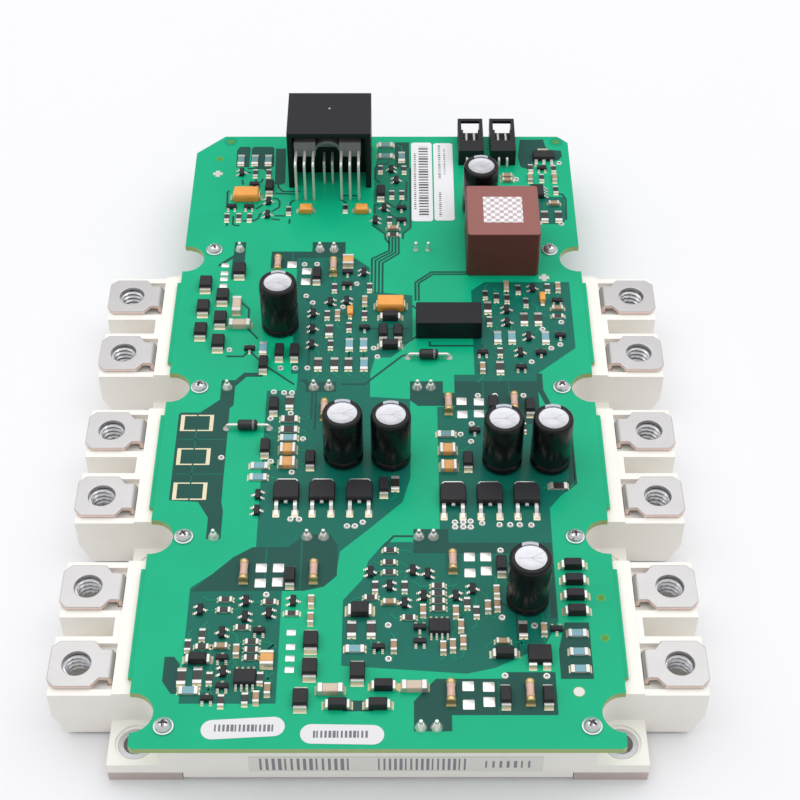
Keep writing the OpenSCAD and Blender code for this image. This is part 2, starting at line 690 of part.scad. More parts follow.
// Plan of the board: cut far corners and half-round notches over the lugs
module board_plan() {
  difference() {
    polygon([
      [-board_tip_x, -mount_rows[3]], [-board_tip_x, board_tip_cut - board_near],
      [board_tip_cut - board_tip_x, -board_near], [board_tip_x - board_tip_cut, -board_near],
      [board_tip_x, board_tip_cut - board_near], [board_tip_x, -mount_rows[3]],
      [board_x, -mount_rows[3]], [board_x, board_far - corner_right],
      [board_x - corner_right, board_far], [corner_left - board_x, board_far],
      [-board_x, board_far - corner_left], [-board_x, -mount_rows[3]]
    ]);
    for (s = sides, y = mount_rows) translate([s * mount_x, y]) circle(r = notch_r);
  }
}

module circuit_board() {
  lead_hole = lead_d + 2 * hole_gap;
  color([0.14, 0.62, 0.47]) difference() {
    union() {
      translate([0, 0, seat_z]) linear_extrude(board_t) board_plan();
      for (s = sides, y = pair_rows) translate([s * (board_x + strip_w / 2 - slip_gap), y, strip_z])
        block([strip_w + 2 * slip_gap, strip_l, strip_h]);
    }
    translate([0, 0, seat_z - through]) {
      for (s = sides, y = screw_rows) translate([s * screw_x, y, 0])
        cylinder(d = screw_hole_d, h = board_t + 2 * through);
      for (p = pin_places) translate([p[0], p[1], 0])
        cylinder(d = pin_d + 2 * hole_gap, h = board_t + 2 * through);
      for (p = lead_places()) translate([p[0], p[1], 0]) cylinder(d = lead_hole, h = board_t + 2 * through);
    }
  }
}

// Where the leads of the tall parts go through the board
function transformer_leads() =
  [for (x = transformer_pin_x, s = sides) transformer_at + [x, s * transformer_pin_y]];
function coupler_leads() = [for (x = coupler_pin_x, s = sides) coupler_at + [x, s * coupler_pin_y]];
function can_leads() = [for (p = can_places, s = sides) p + [0, s * can_lead_pitch / 2]];
function axial_leads() = [for (p = axial_places, s = sides) p + [s * axial_foot, 0]];
function socket_leads() = concat(
  [for (x = socket_lead_x) socket_at + [x, -socket_lead_out]],
  [for (x = socket_inner_x) socket_at + [x, socket_inner_y]]
);
function header_leads() = [for (p = header_at, s = sides) p + [s * header_pin_pitch / 2, -header_pin_out]];
function lead_places() = concat(
  transformer_leads(), coupler_leads(), can_leads(), axial_leads(), socket_leads(), header_leads()
);

// A straight lead from below the board up to a height above it
module lead(height) {
  translate([0, 0, seat_z - lead_below]) cylinder(d = lead_d, h = board_t + lead_below + height);
}

module board_screws() {
  color([0.78, 0.79, 0.8]) for (s = sides, y = screw_rows) translate([s * screw_x, y, top_z]) difference() {
    union() {
      cylinder(d = screw_head_d, h = screw_head_h / 2);
      translate([0, 0, screw_head_h / 2])
        cylinder(d1 = screw_head_d, d2 = screw_top_share * screw_head_d, h = screw_head_h / 2);
      translate([0, 0, -board_t - screw_l]) cylinder(d = screw_d, h = board_t + screw_l);
    }
    for (turn = [0, 90]) rotate(turn) translate([0, 0, screw_head_h / 2])
      block([slot_l, slot_w, screw_head_h]);
  }
}

module transformer_block() {
  w = transformer_w / 2;
  l = transformer_l / 2;
  cut = transformer_cut;
  color([0.62, 0.4, 0.38]) translate([transformer_at.x, transformer_at.y, top_z])
    linear_extrude(transformer_h) polygon([
      [-w, cut - l], [cut - w, -l], [w - cut, -l], [w, cut - l], [w, l - cut], [w - cut, l], [cut - w, l],
      [-w, l - cut]
    ]);
}

module transformer_pins() {
  color([0.8, 0.8, 0.78]) for (p = transformer_leads()) translate([p[0], p[1], 0]) lead(0);
}

module coupler_block() {
  color([0.2, 0.2, 0.22]) translate([coupler_at.x, coupler_at.y, top_z])
    block([coupler_w, coupler_l, coupler_h]);
}

module coupler_pins() {
  color([0.8, 0.8, 0.78]) for (p = coupler_leads()) translate([p[0], p[1], 0]) lead(0);
}

// Shell of the main socket: mating space towards +Y, web, and an open back over the leads
module main_socket_shell() {
  mating_l = socket_l - socket_back - socket_web;
  color([0.2, 0.2, 0.22]) translate([socket_at.x, socket_at.y, top_z]) difference() {
    translate([-socket_w / 2, 0, 0]) cube([socket_w, socket_l, socket_h]);
    translate([-socket_inner_w / 2, -through, -through])
      cube([socket_inner_w, socket_back + through, socket_h - socket_wall + through]);
    translate([-socket_inner_w / 2, socket_l - mating_l, socket_floor])
      cube([socket_inner_w, mating_l + through, socket_h - socket_floor - socket_wall]);
    for (x = socket_lead_x) translate([x, socket_back, socket_lead_z]) rotate([-90, 0, 0])
      translate([0, 0, -through]) cylinder(d = lead_d + 2 * slip_gap, h = socket_web + 2 * through);
    for (x = socket_inner_x) translate([x, socket_back, socket_inner_h]) rotate([-90, 0, 0])
      translate([0, 0, -through]) cylinder(d = lead_d + 2 * slip_gap, h = socket_web + 2 * through);
  }
}

// Insert that guides the leads: two bosses joined by an arch, against the web
module main_socket_insert() {
  span_x = (socket_boss_x[0] + socket_boss_x[1]) / 2;
  boss_z = socket_lead_z - boss_drop;
  color([0.5, 0.5, 0.52]) translate([socket_at.x, socket_at.y, top_z]) difference() {
    union() {
      for (x = socket_boss_x) translate([x, boss_inset, boss_z])
        block_from([socket_boss_w, socket_back - boss_inset, socket_boss_h]);
      translate([socket_boss_x[0], socket_back - boss_bar_t, boss_z])
        cube([socket_boss_x[1] - socket_boss_x[0], boss_bar_t, boss_drop]);
      intersection() {
        translate([span_x, socket_back, boss_z]) rotate([90, 0, 0]) difference() {
          cylinder(r = arch_r + arch_wall, h = arch_l);
          translate([0, 0, -through]) cylinder(r = arch_r, h = arch_l + 2 * through);
        }
        translate([span_x - 2 * arch_r, 0, boss_z]) cube([4 * arch_r, socket_back, 2 * arch_r]);
      }
    }
    for (x = socket_lead_x) translate([x, 0, socket_lead_z]) rotate([-90, 0, 0])
      translate([0, 0, -through]) cylinder(d = lead_d + 2 * slip_gap, h = socket_back + 2 * through);
  }
}

// A lead bent once: up from the board, then level towards +Y
module bent_lead(height, run) {
  lead(height);
  translate([0, 0, top_z + height]) {
    sphere(d = lead_d);
    rotate([-90, 0, 0]) cylinder(d = lead_d, h = run);
  }
}

module main_socket_pins() {
  mating_y = socket_back + socket_web + socket_lead_in;
  color([0.85, 0.82, 0.74]) {
    for (x = socket_lead_x) translate([socket_at.x + x, socket_at.y - socket_lead_out, 0])
      bent_lead(socket_lead_z, socket_lead_out + mating_y);
    for (x = socket_inner_x) translate([socket_at.x + x, socket_at.y + socket_inner_y, 0])
      bent_lead(socket_inner_h, mating_y - socket_inner_y);
  }
}

// A low header with a mouth towards +Y, an open top with shoulders and a bar over its mouth
module latch_header(place) {
  inner = header_w - 2 * header_wall;
  color([0.2, 0.2, 0.22]) translate([place.x, place.y, top_z]) difference() {
    translate([-header_w / 2, 0, 0]) cube([header_w, header_l, header_h]);
    translate([-inner / 2, header_back, header_floor])
      cube([inner, header_l, header_h - header_floor - header_wall]);
    translate([-header_shoulder / 2, header_back, header_floor])
      cube([header_shoulder, header_shoulder_l, header_h]);
    translate([-inner / 2, header_back + header_shoulder_l, header_floor])
      cube([inner, header_l - header_back - header_shoulder_l - header_bar, header_h]);
    translate([-header_w, board_far - place.y, -through])
      cube([2 * header_w, header_l, header_floor + through]);
    for (s = sides) translate([s * header_pin_pitch / 2, 0, header_h / 2]) rotate([-90, 0, 0])
      translate([0, 0, -through]) cylinder(d = lead_d + 2 * slip_gap, h = header_l);
  }
}

module latch_header_pins() {
  color([0.85, 0.82, 0.74]) for (p = header_leads()) translate([p[0], p[1], 0])
    bent_lead(header_h / 2, header_pin_l);
}

module capacitor_can(n) {
  color([0.84, 0.84, 0.86]) translate([can_places[n].x, can_places[n].y, top_z])
    cylinder(d = can_d - 2 * sleeve_t - 2 * slip_gap, h = can_h - sleeve_t - slip_gap);
}

module capacitor_sleeves() {
  color([0.15, 0.15, 0.17]) for (p = can_places) translate([p.x, p.y, top_z]) difference() {
    cylinder(d = can_d, h = can_h);
    translate([0, 0, -through]) cylinder(d = can_d - 2 * sleeve_t, h = can_h - sleeve_t + through);
    cylinder(d = can_d - 2 * sleeve_rim, h = can_h + through);
  }
}

module capacitor_leads() {
  color([0.8, 0.8, 0.78]) for (p = can_leads()) translate([p[0], p[1], 0]) lead(0);
}

module tantalum_bodies() {
  color([0.93, 0.65, 0.3]) for (p = tantalum_places) on_board([p]) block([p[3], p[4], p[5]]);
}

module tantalum_contacts() {
  color([0.85, 0.84, 0.8]) for (p = tantalum_places) on_board([p]) for (s = sides)
    translate([s * (p[3] + tantalum_contact_t) / 2, 0, 0])
      block([tantalum_contact_t, tantalum_contact_w_share * p[4], tantalum_contact_h_share * p[5]]);
}

module axial_diode_bodies() {
  color([0.15, 0.15, 0.16]) for (p = axial_places)
    translate([p.x - axial_l / 2, p.y, top_z + axial_d / 2]) rotate([0, 90, 0])
      cylinder(d = axial_d, h = axial_l);
}

module axial_diode_leads() {
  color([0.85, 0.84, 0.8]) for (p = axial_places, s = sides) translate([p.x + s * axial_foot, p.y, 0]) {
    lead(axial_d / 2);
    translate([0, 0, top_z + axial_d / 2]) {
      sphere(d = lead_d);
      rotate([0, -s * 90, 0]) cylinder(d = lead_d, h = axial_foot - axial_l / 2);
    }
  }
}

module power_transistor_bodies() {
  color([0.2, 0.2, 0.21]) for (p = power_places) translate([p.x, p.y, top_z + power_tab_t])
    block([power_w, power_l, power_h - power_tab_t]);
}

module power_transistor_tabs() {
  color([0.8, 0.8, 0.8]) for (p = power_places) translate([p.x, p.y, top_z]) {
    translate([0, (0.5 - power_tab_share) * power_l, 0])
      block_from([power_tab_w, power_tab_share * power_l + power_tab_l, power_tab_t]);
    for (s = sides) translate([s * power_lead_pitch / 2, -power_l / 2 - power_lead_l, 0]) {
      block_from([power_lead_w, power_lead_l / 2, lead_t]);
      translate([0, power_lead_l / 2 - lead_t, 0]) block_from([power_lead_w, lead_t, power_h / 2]);
      translate([0, power_lead_l / 2 - lead_t, power_h / 2 - lead_t])
        block_from([power_lead_w, power_lead_l / 2 + lead_t, lead_t]);
    }
  }
}

// A flat-bodied rectifier of a width, with its length along X
module rectifier_body(width) {
  block([rectifier_body_share * rectifier_l, width, rectifier_h]);
}

module rectifier_ends(width) {
  end_l = (1 - rectifier_body_share) * rectifier_l / 2;
  for (s = sides) translate([s * (rectifier_l - end_l) / 2, 0, 0])
    block([end_l, rectifier_contact_share * width, rectifier_contact_h]);
}

module rectifier_bodies() {
  color([0.22, 0.22, 0.24]) {
    on_board(small_rectifier_places) rectifier_body(rectifier_w);
    on_board(large_rectifier_places) rectifier_body(rectifier_wide);
    translate([twin_at.x, twin_at.y, top_z]) block([twin_w, twin_l, rectifier_h]);
  }
}

module rectifier_contacts() {
  color([0.85, 0.84, 0.8]) {
    on_board(small_rectifier_places) rectifier_ends(rectifier_w);
    on_board(large_rectifier_places) rectifier_ends(rectifier_wide);
    for (x = twin_contact_x) translate([twin_at.x + x, twin_at.y - twin_l / 2 - twin_contact_l, top_z])
      block_from([twin_contact_w, twin_contact_l, rectifier_contact_h]);
  }
}

module transistor_bodies() {
  color([0.2, 0.2, 0.21]) on_board(transistor_places) translate([0, 0, transistor_lift])
    block([transistor_l, transistor_w, transistor_h]);
}

module transistor_leads() {
  color([0.85, 0.85, 0.84]) on_board(transistor_places) {
    for (s = sides) translate([s * transistor_lead_pitch / 2, -transistor_w / 2 - transistor_lead_l, 0])
      block_from([transistor_lead_w, transistor_lead_l, transistor_h / 2]);
    translate([0, transistor_w / 2, 0]) block_from([transistor_lead_w, transistor_lead_l, transistor_h / 2]);
  }
}

module ic_bodies() {
  color([0.2, 0.2, 0.21]) {
    on_board(outline_places) translate([0, 0, transistor_lift]) block([outline_l, outline_w, outline_h]);
    translate([regulator_at.x, regulator_at.y, top_z + transistor_lift])
      block([regulator_w, regulator_l, regulator_h]);
  }
}

module ic_leads() {
  color([0.85, 0.85, 0.84]) {
    on_board(outline_places) for (k = [-1.5:1.5], turn = [0, 180]) rotate(turn)
      translate([k * outline_pitch, outline_w / 2, 0])
        block_from([outline_lead_w, outline_lead_l, outline_h / 2]);
    translate([regulator_at.x, regulator_at.y, top_z]) {
      for (k = [-1:1]) translate([k * regulator_pitch, -regulator_l / 2 - regulator_lead_l, 0])
        block_from([regulator_lead_w, regulator_lead_l, regulator_h / 2]);
      translate([0, regulator_l / 2, 0]) block_from([regulator_tab_w, regulator_lead_l, regulator_h / 2]);
    }
  }
}

// The middle of a chip part between its two contacts, its length along X
module chip_body(l, w, h) {
  block([(1 - 2 * contact_share) * l, w, h]);
}

module chip_ends(l, w, h) {
  for (s = sides) translate([s * (1 - contact_share) * l / 2, 0, 0]) block([contact_share * l, w, h]);
}

module chip_resistors() {
  color([0.3, 0.32, 0.36]) {
    on_board(small_resistor_places) chip_body(small_l, small_w, resistor_h);
    on_board(concat(middle_resistor_places, blue_resistor_places)) chip_body(middle_l, middle_w, resistor_h);
  }
}

module chip_capacitors() {
  color([0.78, 0.66, 0.5]) {
    on_board(small_capacitor_places) chip_body(small_l, small_w, capacitor_h);
    on_board(large_capacitor_places) chip_body(large_l, large_w, large_h);
    on_board(long_capacitor_places) chip_body(long_l, long_w, long_h);
  }
}

module melf_resistors() {
  color([0.85, 0.7, 0.66]) on_board(melf_places) translate([0, 0, melf_d / 2]) rotate([0, 90, 0])
    cylinder(d = melf_d, h = melf_l - 2 * melf_cap_l, center = true);
}

module chip_contacts() {
  color([0.86, 0.85, 0.8]) {
    on_board(small_resistor_places) chip_ends(small_l, small_w, resistor_h);
    on_board(concat(middle_resistor_places, blue_resistor_places)) chip_ends(middle_l, middle_w, resistor_h);
    on_board(small_capacitor_places) chip_ends(small_l, small_w, capacitor_h);
    on_board(large_capacitor_places) chip_ends(large_l, large_w, large_h);
    on_board(long_capacitor_places) chip_ends(long_l, long_w, long_h);
    on_board(melf_places) for (s = sides) translate([s * (melf_l - melf_cap_l) / 2, 0, melf_d / 2])
      rotate([0, 90, 0]) cylinder(d = melf_d, h = melf_cap_l, center = true);
  }
}

module labels() {
  color([0.93, 0.93, 0.95]) {
    for (p = label_places) translate([p[0], p[1], top_z]) rotate(p[4]) {
      block([p[2], p[3], label_t]);
      if (p[4] != 0) for (s = sides) translate([s * p[2] / 2, 0, 0]) cylinder(d = p[3], h = label_t);
    }
    translate([front_label_x[0], -base_y - label_t, front_label_z[0]])
      cube([front_label_x[1] - front_label_x[0], label_t, front_label_z[1] - front_label_z[0]]);
  }
}

base_plate();
housing_frame();
housing_lid();
mounting_bushes();
substrates();
igbt_chips();
diode_chips();
for (n = [0:11]) at_terminal(n) terminal();
terminal_nuts();
gate_pins();
pin_solder();
circuit_board();
board_screws();
transformer_block();
transformer_pins();
coupler_block();
coupler_pins();
main_socket_shell();
main_socket_insert();
main_socket_pins();
for (n = [0:1]) latch_header(header_at[n]);
latch_header_pins();
for (n = [0:6]) capacitor_can(n);
capacitor_sleeves();
capacitor_leads();
tantalum_bodies();
tantalum_contacts();
axial_diode_bodies();
axial_diode_leads();
power_transistor_bodies();
power_transistor_tabs();
rectifier_bodies();
rectifier_contacts();
transistor_bodies();
transistor_leads();
ic_bodies();
ic_leads();
chip_resistors();
chip_capacitors();
melf_resistors();
chip_contacts();
labels();
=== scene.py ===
"""Looks of a power module with a gate driver board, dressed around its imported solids.

The frame is in metres. Places on the board are written in millimetres and scaled by MM.
"""
import math

import bmesh
import bpy
import numpy as np
from mathutils import Euler, Matrix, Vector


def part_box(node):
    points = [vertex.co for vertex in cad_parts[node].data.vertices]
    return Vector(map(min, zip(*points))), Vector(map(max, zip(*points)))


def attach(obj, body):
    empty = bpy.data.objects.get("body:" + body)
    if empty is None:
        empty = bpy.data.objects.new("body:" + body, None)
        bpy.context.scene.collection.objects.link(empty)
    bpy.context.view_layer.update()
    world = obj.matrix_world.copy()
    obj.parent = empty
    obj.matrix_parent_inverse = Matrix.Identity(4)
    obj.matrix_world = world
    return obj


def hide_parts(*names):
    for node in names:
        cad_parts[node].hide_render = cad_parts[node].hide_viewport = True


bl_info = {
    "name": "Driver module dressing",
    "version": (1, 0, 0),
    "blender": (4, 5, 0),
    "location": "View3D > Sidebar > Module",
    "description": "Dresses the packed power module: housing, terminals, driver board and its parts",
    "category": "Object",
}

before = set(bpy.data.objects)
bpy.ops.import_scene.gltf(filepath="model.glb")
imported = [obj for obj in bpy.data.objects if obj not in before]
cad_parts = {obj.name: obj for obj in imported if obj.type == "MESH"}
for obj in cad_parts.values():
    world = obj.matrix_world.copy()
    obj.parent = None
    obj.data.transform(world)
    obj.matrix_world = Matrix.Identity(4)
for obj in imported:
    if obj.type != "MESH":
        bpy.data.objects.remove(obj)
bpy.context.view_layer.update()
MM = 0.001
BOARD_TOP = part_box("transformer_block")[0].z
# Angle in degrees from which an edge stays sharp
SHARP_ANGLE = 35
# Angle in degrees under which neighbouring faces are joined
FLAT_ANGLE = 1
# Segments across a rounded edge, and points on a lead's bend and round it
EDGE_SEGMENTS = 2
BEND_POINTS = 6
LEAD_SIDES = 10
# Corners of the rings that moulded bodies are made of
RING_CORNERS = 8
# Width of the camera's frame in millimetres, and the nearest distance that it sees in metres
FILM_WIDTH = 36
NEAR_LIMIT = 0.01


def srgb(red, green, blue):
    """Linear colour of three display values from 0 to 255."""
    shares = np.array([red, green, blue]) / 255
    low = shares / 12.92
    high = ((shares + 0.055) / 1.055) ** 2.4
    return tuple(float(x) for x in np.where(shares <= 0.04045, low, high))


# Board artwork in millimetres: fields without copper, fields of thin copper, and one between the two
LAMINATE_FIELDS = [
    [(-43.4, 115.4), (-43.6, 123.4), (-42.8, 125), (-40, 125), (-39.6, 124.4), (-39.6, 115.4)],
    [(-38.2, 115.4), (-39.2, 116.4), (-39.2, 124.2), (-38.6, 125), (-33, 125), (-32.5, 124.2), (-32.2, 116),
     (-34, 114.2)],
    [(-31.6, 107.5), (-32, 124.2), (-29, 124.2), (-28.6, 108.3), (-29.2, 107.5)],
    [(40.2, 120.6), (41.2, 128.4), (48.2, 128.6), (48.6, 125.6), (49.4, 123.6), (53.2, 123.2), (53.4, 120.6),
     (52.2, 118.8), (46.4, 118.2), (43, 114.6), (40.8, 115.6)],
    [(3.6, 115), (3.6, 127.2), (7.8, 127.2), (7.8, 115)],
    [(-41.8, 66.5), (-41.8, 75), (-45.6, 71.6), (-45.6, 72.6), (-41.6, 76.6), (-41.6, 82), (-38.4, 82),
     (-38.4, 66.5)],
    [(-31, 71), (-31, 78), (-19.6, 78), (-19.6, 82), (-10.3, 82), (-10.3, 75.5), (-23.6, 75.5), (-23.6, 71)],
    [(-51.8, -13.4), (-51.8, 15.4), (-51.2, 16), (-46.4, 16), (-41.6, 20.6), (-41.6, 27.6), (-38, 27.6),
     (-38, 18.6), (-38.9, 17.6), (-38.9, -14), (-38.3, -17), (-38.3, -25.6), (-41.8, -25.6), (-41.8, -19),
     (-44.6, -14)],
    [(-19.6, 23.4), (-19.6, 27), (-11.6, 27), (-11.6, 23.4)],
    [(19.2, 17), (19.2, 27.2), (41, 27.2), (41, 12), (36.6, 12), (36.6, 17)],
    [(7.6, 20.4), (7.6, 27.2), (16.2, 27.2), (16.2, 23), (19.2, 23), (19.2, 18.4), (9.6, 18.4)],
    [(-44.2, -41.4), (-34.8, -31.2), (-30.4, -28.2), (-22, -28.2), (-17.6, -24.2), (-12, -24.2), (-10, -27.6),
     (-10, -36.8), (-13, -40), (-17.6, -41.2)],
    [(8, -79.8), (8, -72), (13, -66), (29, -66), (29, -64.2), (40, -64.2), (40, -75.6), (16.4, -75.6),
     (16.4, -79.8)],
    [(41.2, -66), (41.2, -58), (43, -50.4), (48.6, -50.4), (48.6, -66)],
    [(-48.6, -60), (-46.4, -60), (-45, -62), (-45, -70), (-46.4, -70), (-48.6, -66.6)],
    [(8.2, -30), (8.2, -22.6), (16.6, -22.6), (16.6, -26.8), (41.4, -26.8), (41.4, -49), (40, -49),
     (40, -30)],
    [(-7.8, -74.6), (-7.8, -71.8), (-1, -71.8), (-1, -74.6)],
]
# The first laminate fields lie at the far corners, and get no fine traces
CORNER_FIELDS = 4
TEAL_FIELDS = [
    [(-23.6, 30), (-23.6, 75.6), (-8, 75.6), (-3.4, 71.4), (-3.4, 61.6), (8.4, 60), (8.4, 43), (5, 38.6),
     (2.6, 36), (-1.6, 36), (-2.8, 30)],
    [(24.6, 29.6), (24.6, 62), (28.4, 65.4), (51.8, 65.4), (51.8, 39.6), (41.2, 30), (41.2, 26), (19.2, 26),
     (19.2, 29.6)],
    [(-29.6, -28), (-29.6, 23.8), (-22, 23.8), (-21.8, 30), (-2.8, 30), (-2.8, 21.6), (7.6, 20.8), (7.6, -6),
     (5.6, -14), (-3, -23), (-9.4, -29.4), (-10.2, -36.4), (-13.2, -39.8), (-22.8, -40.6), (-22.8, -72.6),
     (-44.4, -72.6), (-44.4, -40.4)],
    [(14.6, -14), (14.6, 18), (41, 18), (41, 10), (48.8, 8), (48.8, -8), (44.6, -12), (41.6, -16),
     (41.6, -50), (38, -57), (26.6, -63), (20, -64.6), (-8.4, -62.4), (-8.4, -44), (-4, -38), (-2.6, -32.4),
     (1.4, -26.6), (14.6, -26.6)],
    [(44.8, 89.8), (45.4, 101.8), (52.8, 101.8), (52.6, 91.8), (51.6, 89.8)],
]
MIDDLE_FIELDS = [
    [(-2.8, 89.6), (-2.2, 114), (-1.4, 127), (3.6, 127), (3.6, 116), (8, 115), (8, 88.4), (6, 85.8),
     (1, 85.8)],
]
# Lines left out of the pour, thin and wide, and copper lines across the fields
DARK_TRACES = [
    [(2, 89), (2, 78.4), (-2.8, 75), (-2.8, 61)],
    [(2.9, 89), (2.9, 78), (-1.8, 74.4), (-1.8, 61)],
    [(3.8, 89), (3.8, 77.6), (-0.8, 73.8), (-0.8, 61)],
    [(4.7, 89), (4.7, 77.2), (0.2, 73.2), (0.2, 61)],
    [(8.1, 115), (8.1, 88.2), (5.9, 85.6), (5.9, 83.4)], [(-2.9, 89.4), (0.9, 85.4), (0.9, 83.4), (2, 81.6)],
    [(1.8, 118.2), (1.2, 117), (-1.4, 116.6), (-2.2, 115), (-2.2, 110), (-0.8, 108.2)],
    [(-0.9, 98.4), (-2.3, 98.2), (-2.2, 94.6)], [(7, 108.8), (6.9, 100)], [(5.5, 100.6), (4.5, 97.4)],
    [(0.8, 100), (3.6, 97)], [(1.9, 96.4), (1.9, 94.2), (4.3, 92)],
    [(9.3, 58), (9.3, 65.3), (13.8, 69.5), (23.6, 69.5)],
    [(10.2, 58), (10.2, 65), (14.2, 68.6), (23.6, 68.6)],
    [(8, 37.4), (5.6, 36.6), (-4.2, 26.2), (-10.4, 26.2)],
    [(-41, 36.4), (-36.6, 36.4), (-35, 38.4), (-30.6, 33), (-22.6, 26)],
    [(-39, 58), (-36, 54.6), (-36, 47), (-33, 43)],
    [(48.6, 10), (48.6, -8), (45.8, -10.6)],
    [(8.6, -24.8), (3.4, -24.8), (0.4, -28.8)],
    [(26.8, 41), (27.6, 36.4), (27.6, 30)],
    [(-22, 60), (-19.2, 57.4), (-19.2, 32)],
    [(-21, 28), (-17.8, 24.6), (-17.8, 14)],
    [(-20, 28), (-16.8, 24.4), (-16.8, 10)],
    [(28, -44), (32, -48), (32, -60)],
    [(-40, 114.8), (-35.2, 114.8), (-34.2, 113.6)], [(-40.2, 113), (-38.6, 113)],
    [(-41.2, 109.6), (-40.9, 107.4)], [(-37.2, 110), (-37.2, 108.2)], [(-35.2, 110), (-35.8, 108.2)],
    [(-44.8, 104.6), (-45.2, 103.8), (-44.9, 97.6)],
    [(-30.6, 107.6), (-30.4, 106), (-29, 104.2), (-24, 104.2)], [(-31.2, 103.4), (-25, 103)],
    [(-31.8, 101.2), (-30.6, 101), (-29.8, 99.8), (-29.8, 97.2), (-31.8, 95.4)], [(-34, 99), (-36.4, 96.4)],
    [(-33.8, 95), (-35.2, 94.2), (-35.6, 92.4), (-36.8, 91.2), (-40, 91.2)], [(-31, 93.4), (-27.8, 93.4)],
    [(-31.8, 92), (-29.4, 91.6)], [(-42.8, 93.4), (-42.8, 89.8), (-42.2, 89.2), (-40.8, 89.2)],
    [(-26.6, 98), (-26.6, 99.4), (-25.6, 100.4)], [(-26.6, 92), (-26.6, 90)], [(-44.4, 90.2), (-44.4, 89)],
    [(-10.4, 99), (-12, 100.6), (-12, 102.4), (-7, 102.4)],
    [(50.8, 103.2), (52.4, 103), (53.2, 100.8), (52.8, 91.8)],
    [(-3.6, 47), (-2, 47), (7.6, 47)], [(-24, 44), (-24, 60)],
    [(8.4, 56), (10.4, 53.6), (10.4, 44.6), (6.4, 41.4), (4.4, 41.4)],
    [(13, 42), (13, 40.4), (24.6, 40.4)],
]
WIDE_TRACES = [
    [(47.6, 12), (47.8, -6.6), (46, -9.2)],
    [(41.6, 30), (41.6, 24), (43.6, 18)],
    [(-38.4, 26), (-35.6, 29.6), (-31, 29.6)],
]
TEAL_LINES = [
    [(-51.4, 6.6), (-38.9, 6.6)], [(-46.9, 6.6), (-46.9, 3.9)], [(-46.9, -2.2), (-46.9, -5)],
    [(-51.4, -5), (-38.9, -5)], [(-46.9, 16), (-46.9, 15.2)], [(-46.9, 9.4), (-46.9, 6.6)],
    [(-46.9, -5), (-46.9, -7.6)],
    [(26.6, 17.4), (26.6, 26.8)], [(33.4, 17.4), (33.4, 26.8)], [(-27, -28.6), (-27, -40.8)],
    [(-18.6, -25), (-18.6, -40.8)], [(27, -66.4), (27, -75.2)], [(-25, 71.4), (-25, 77.6)],
]
# Middles of the bare pads and of the solder dots
WIDE_PADS = [
    (-25.1, 72.5), (-20.9, 69.8), (-21, 65.5), (20.9, 20), (25.4, 19.8), (21, 15.3), (25.3, 15.6),
    (-28, -34.5), (-23.9, -34.5), (-28, -39), (-23.9, -38.7), (21.5, -31.2), (25.4, -31.2), (21.5, -36),
    (25.4, -35.4), (20.2, -68), (24.8, -68.2), (20.2, -72.9), (24.8, -72.2),
]
SMALL_PADS = [
    (-20.1, -53.3), (-20.1, -57.3), (-20.1, -60.5), (-20.1, -63.6), (-43.7, 72.2), (-43.7, 68.9),
    (-43.7, 66.6), (-43.7, 63.8),
]
SOLDER_DOTS = [
    (-26.5, 32), (-22.6, 32), (-19.4, 32), (-27.8, 23.3), (-25.1, 23), (-23.1, 23), (-28.2, 13.8),
    (-23.1, 15.7), (-19.6, 6.8), (-22, -4.4), (-27.4, -0.8), (-39.9, 0.5), (-40.4, 38.8), (-10.5, 55.3),
    (-6.9, 64.6), (-2, 39.4), (-1, 36.2), (-21.6, 72.6), (-18.1, 72.7), (-20.7, 59.7), (-18.8, 57),
    (43.4, 46.7), (47.8, 40.8), (45.3, 39.4), (39.8, 34.3), (48.6, 49.4), (25.2, 22), (29.6, 22),
    (37, 22), (23.3, 12), (20.4, 8.4), (23, 5.9), (-21.7, -19.5), (-19.6, -19.6), (-7.9, -21.7),
    (-6, -21.7), (-4.1, -20.5), (18.3, -20.5), (18.3, -22), (20.3, -20.5), (20.3, -22), (22.1, -20.2),
    (22.1, -22), (24.9, -20.8), (29.1, -21.3), (31.7, -21.3), (34, -21.3), (36.8, -21.4),
    (-26.4, -42.4), (29, -29.2), (2.2, -51.2), (2.3, -60.6), (28.6, -49), (36, -51.3), (51.2, 89.8),
    (45, 90.2), (52.3, 117.3), (39.3, 109.8), (28.6, -65.2), (38, -65.3),
]
# Middles of the footprints without a part, and of the sighting marks
EMPTY_FOOTPRINTS = [(-46.9, 12.3), (-46.9, 0.8), (-46.9, -10.6)]
RINGED_MARKS = [(-45.7, 127.4), (52, 127.4)]
CROSS_MARKS = [(-48.6, 112.3), (45, 67.2)]
OLIVE_MARKS = [(-48.5, 119.3), (52, -43.3), (52, -54.8)]
ROUND_MARKS = [(45, -69.5)]
# Middles of the chip resistors that have a blue or a clear glaze
BLUE_RESISTORS = [
    (-31.4, 39.3), (-8.5, 40.7), (-4.7, 40.8), (-4.5, 33.4), (31.2, 43.5), (35, 43.5), (44, 43.4),
    (-23.3, 7), (-30.2, -2.4), (-30.3, -6.2), (-42.5, -69.3), (-5.4, -58), (45.7, -53.6), (45.7, -58.8),
    (45.7, -63.5),
]
GREY_RESISTORS = [
    (-42.1, 118.5), (-38, 118.5), (-34, 118.5), (5.6, 120), (0.8, 125.6), (0.8, 120.3), (16.7, 8.3),
]
# X of the terminals' holes either side, Y pitch of their pairs, half the Y between the two of a pair, and the
# radius inside which the plating covers the sides
TERMINAL_HOLES = (68.7, 50, 11, 4.2)
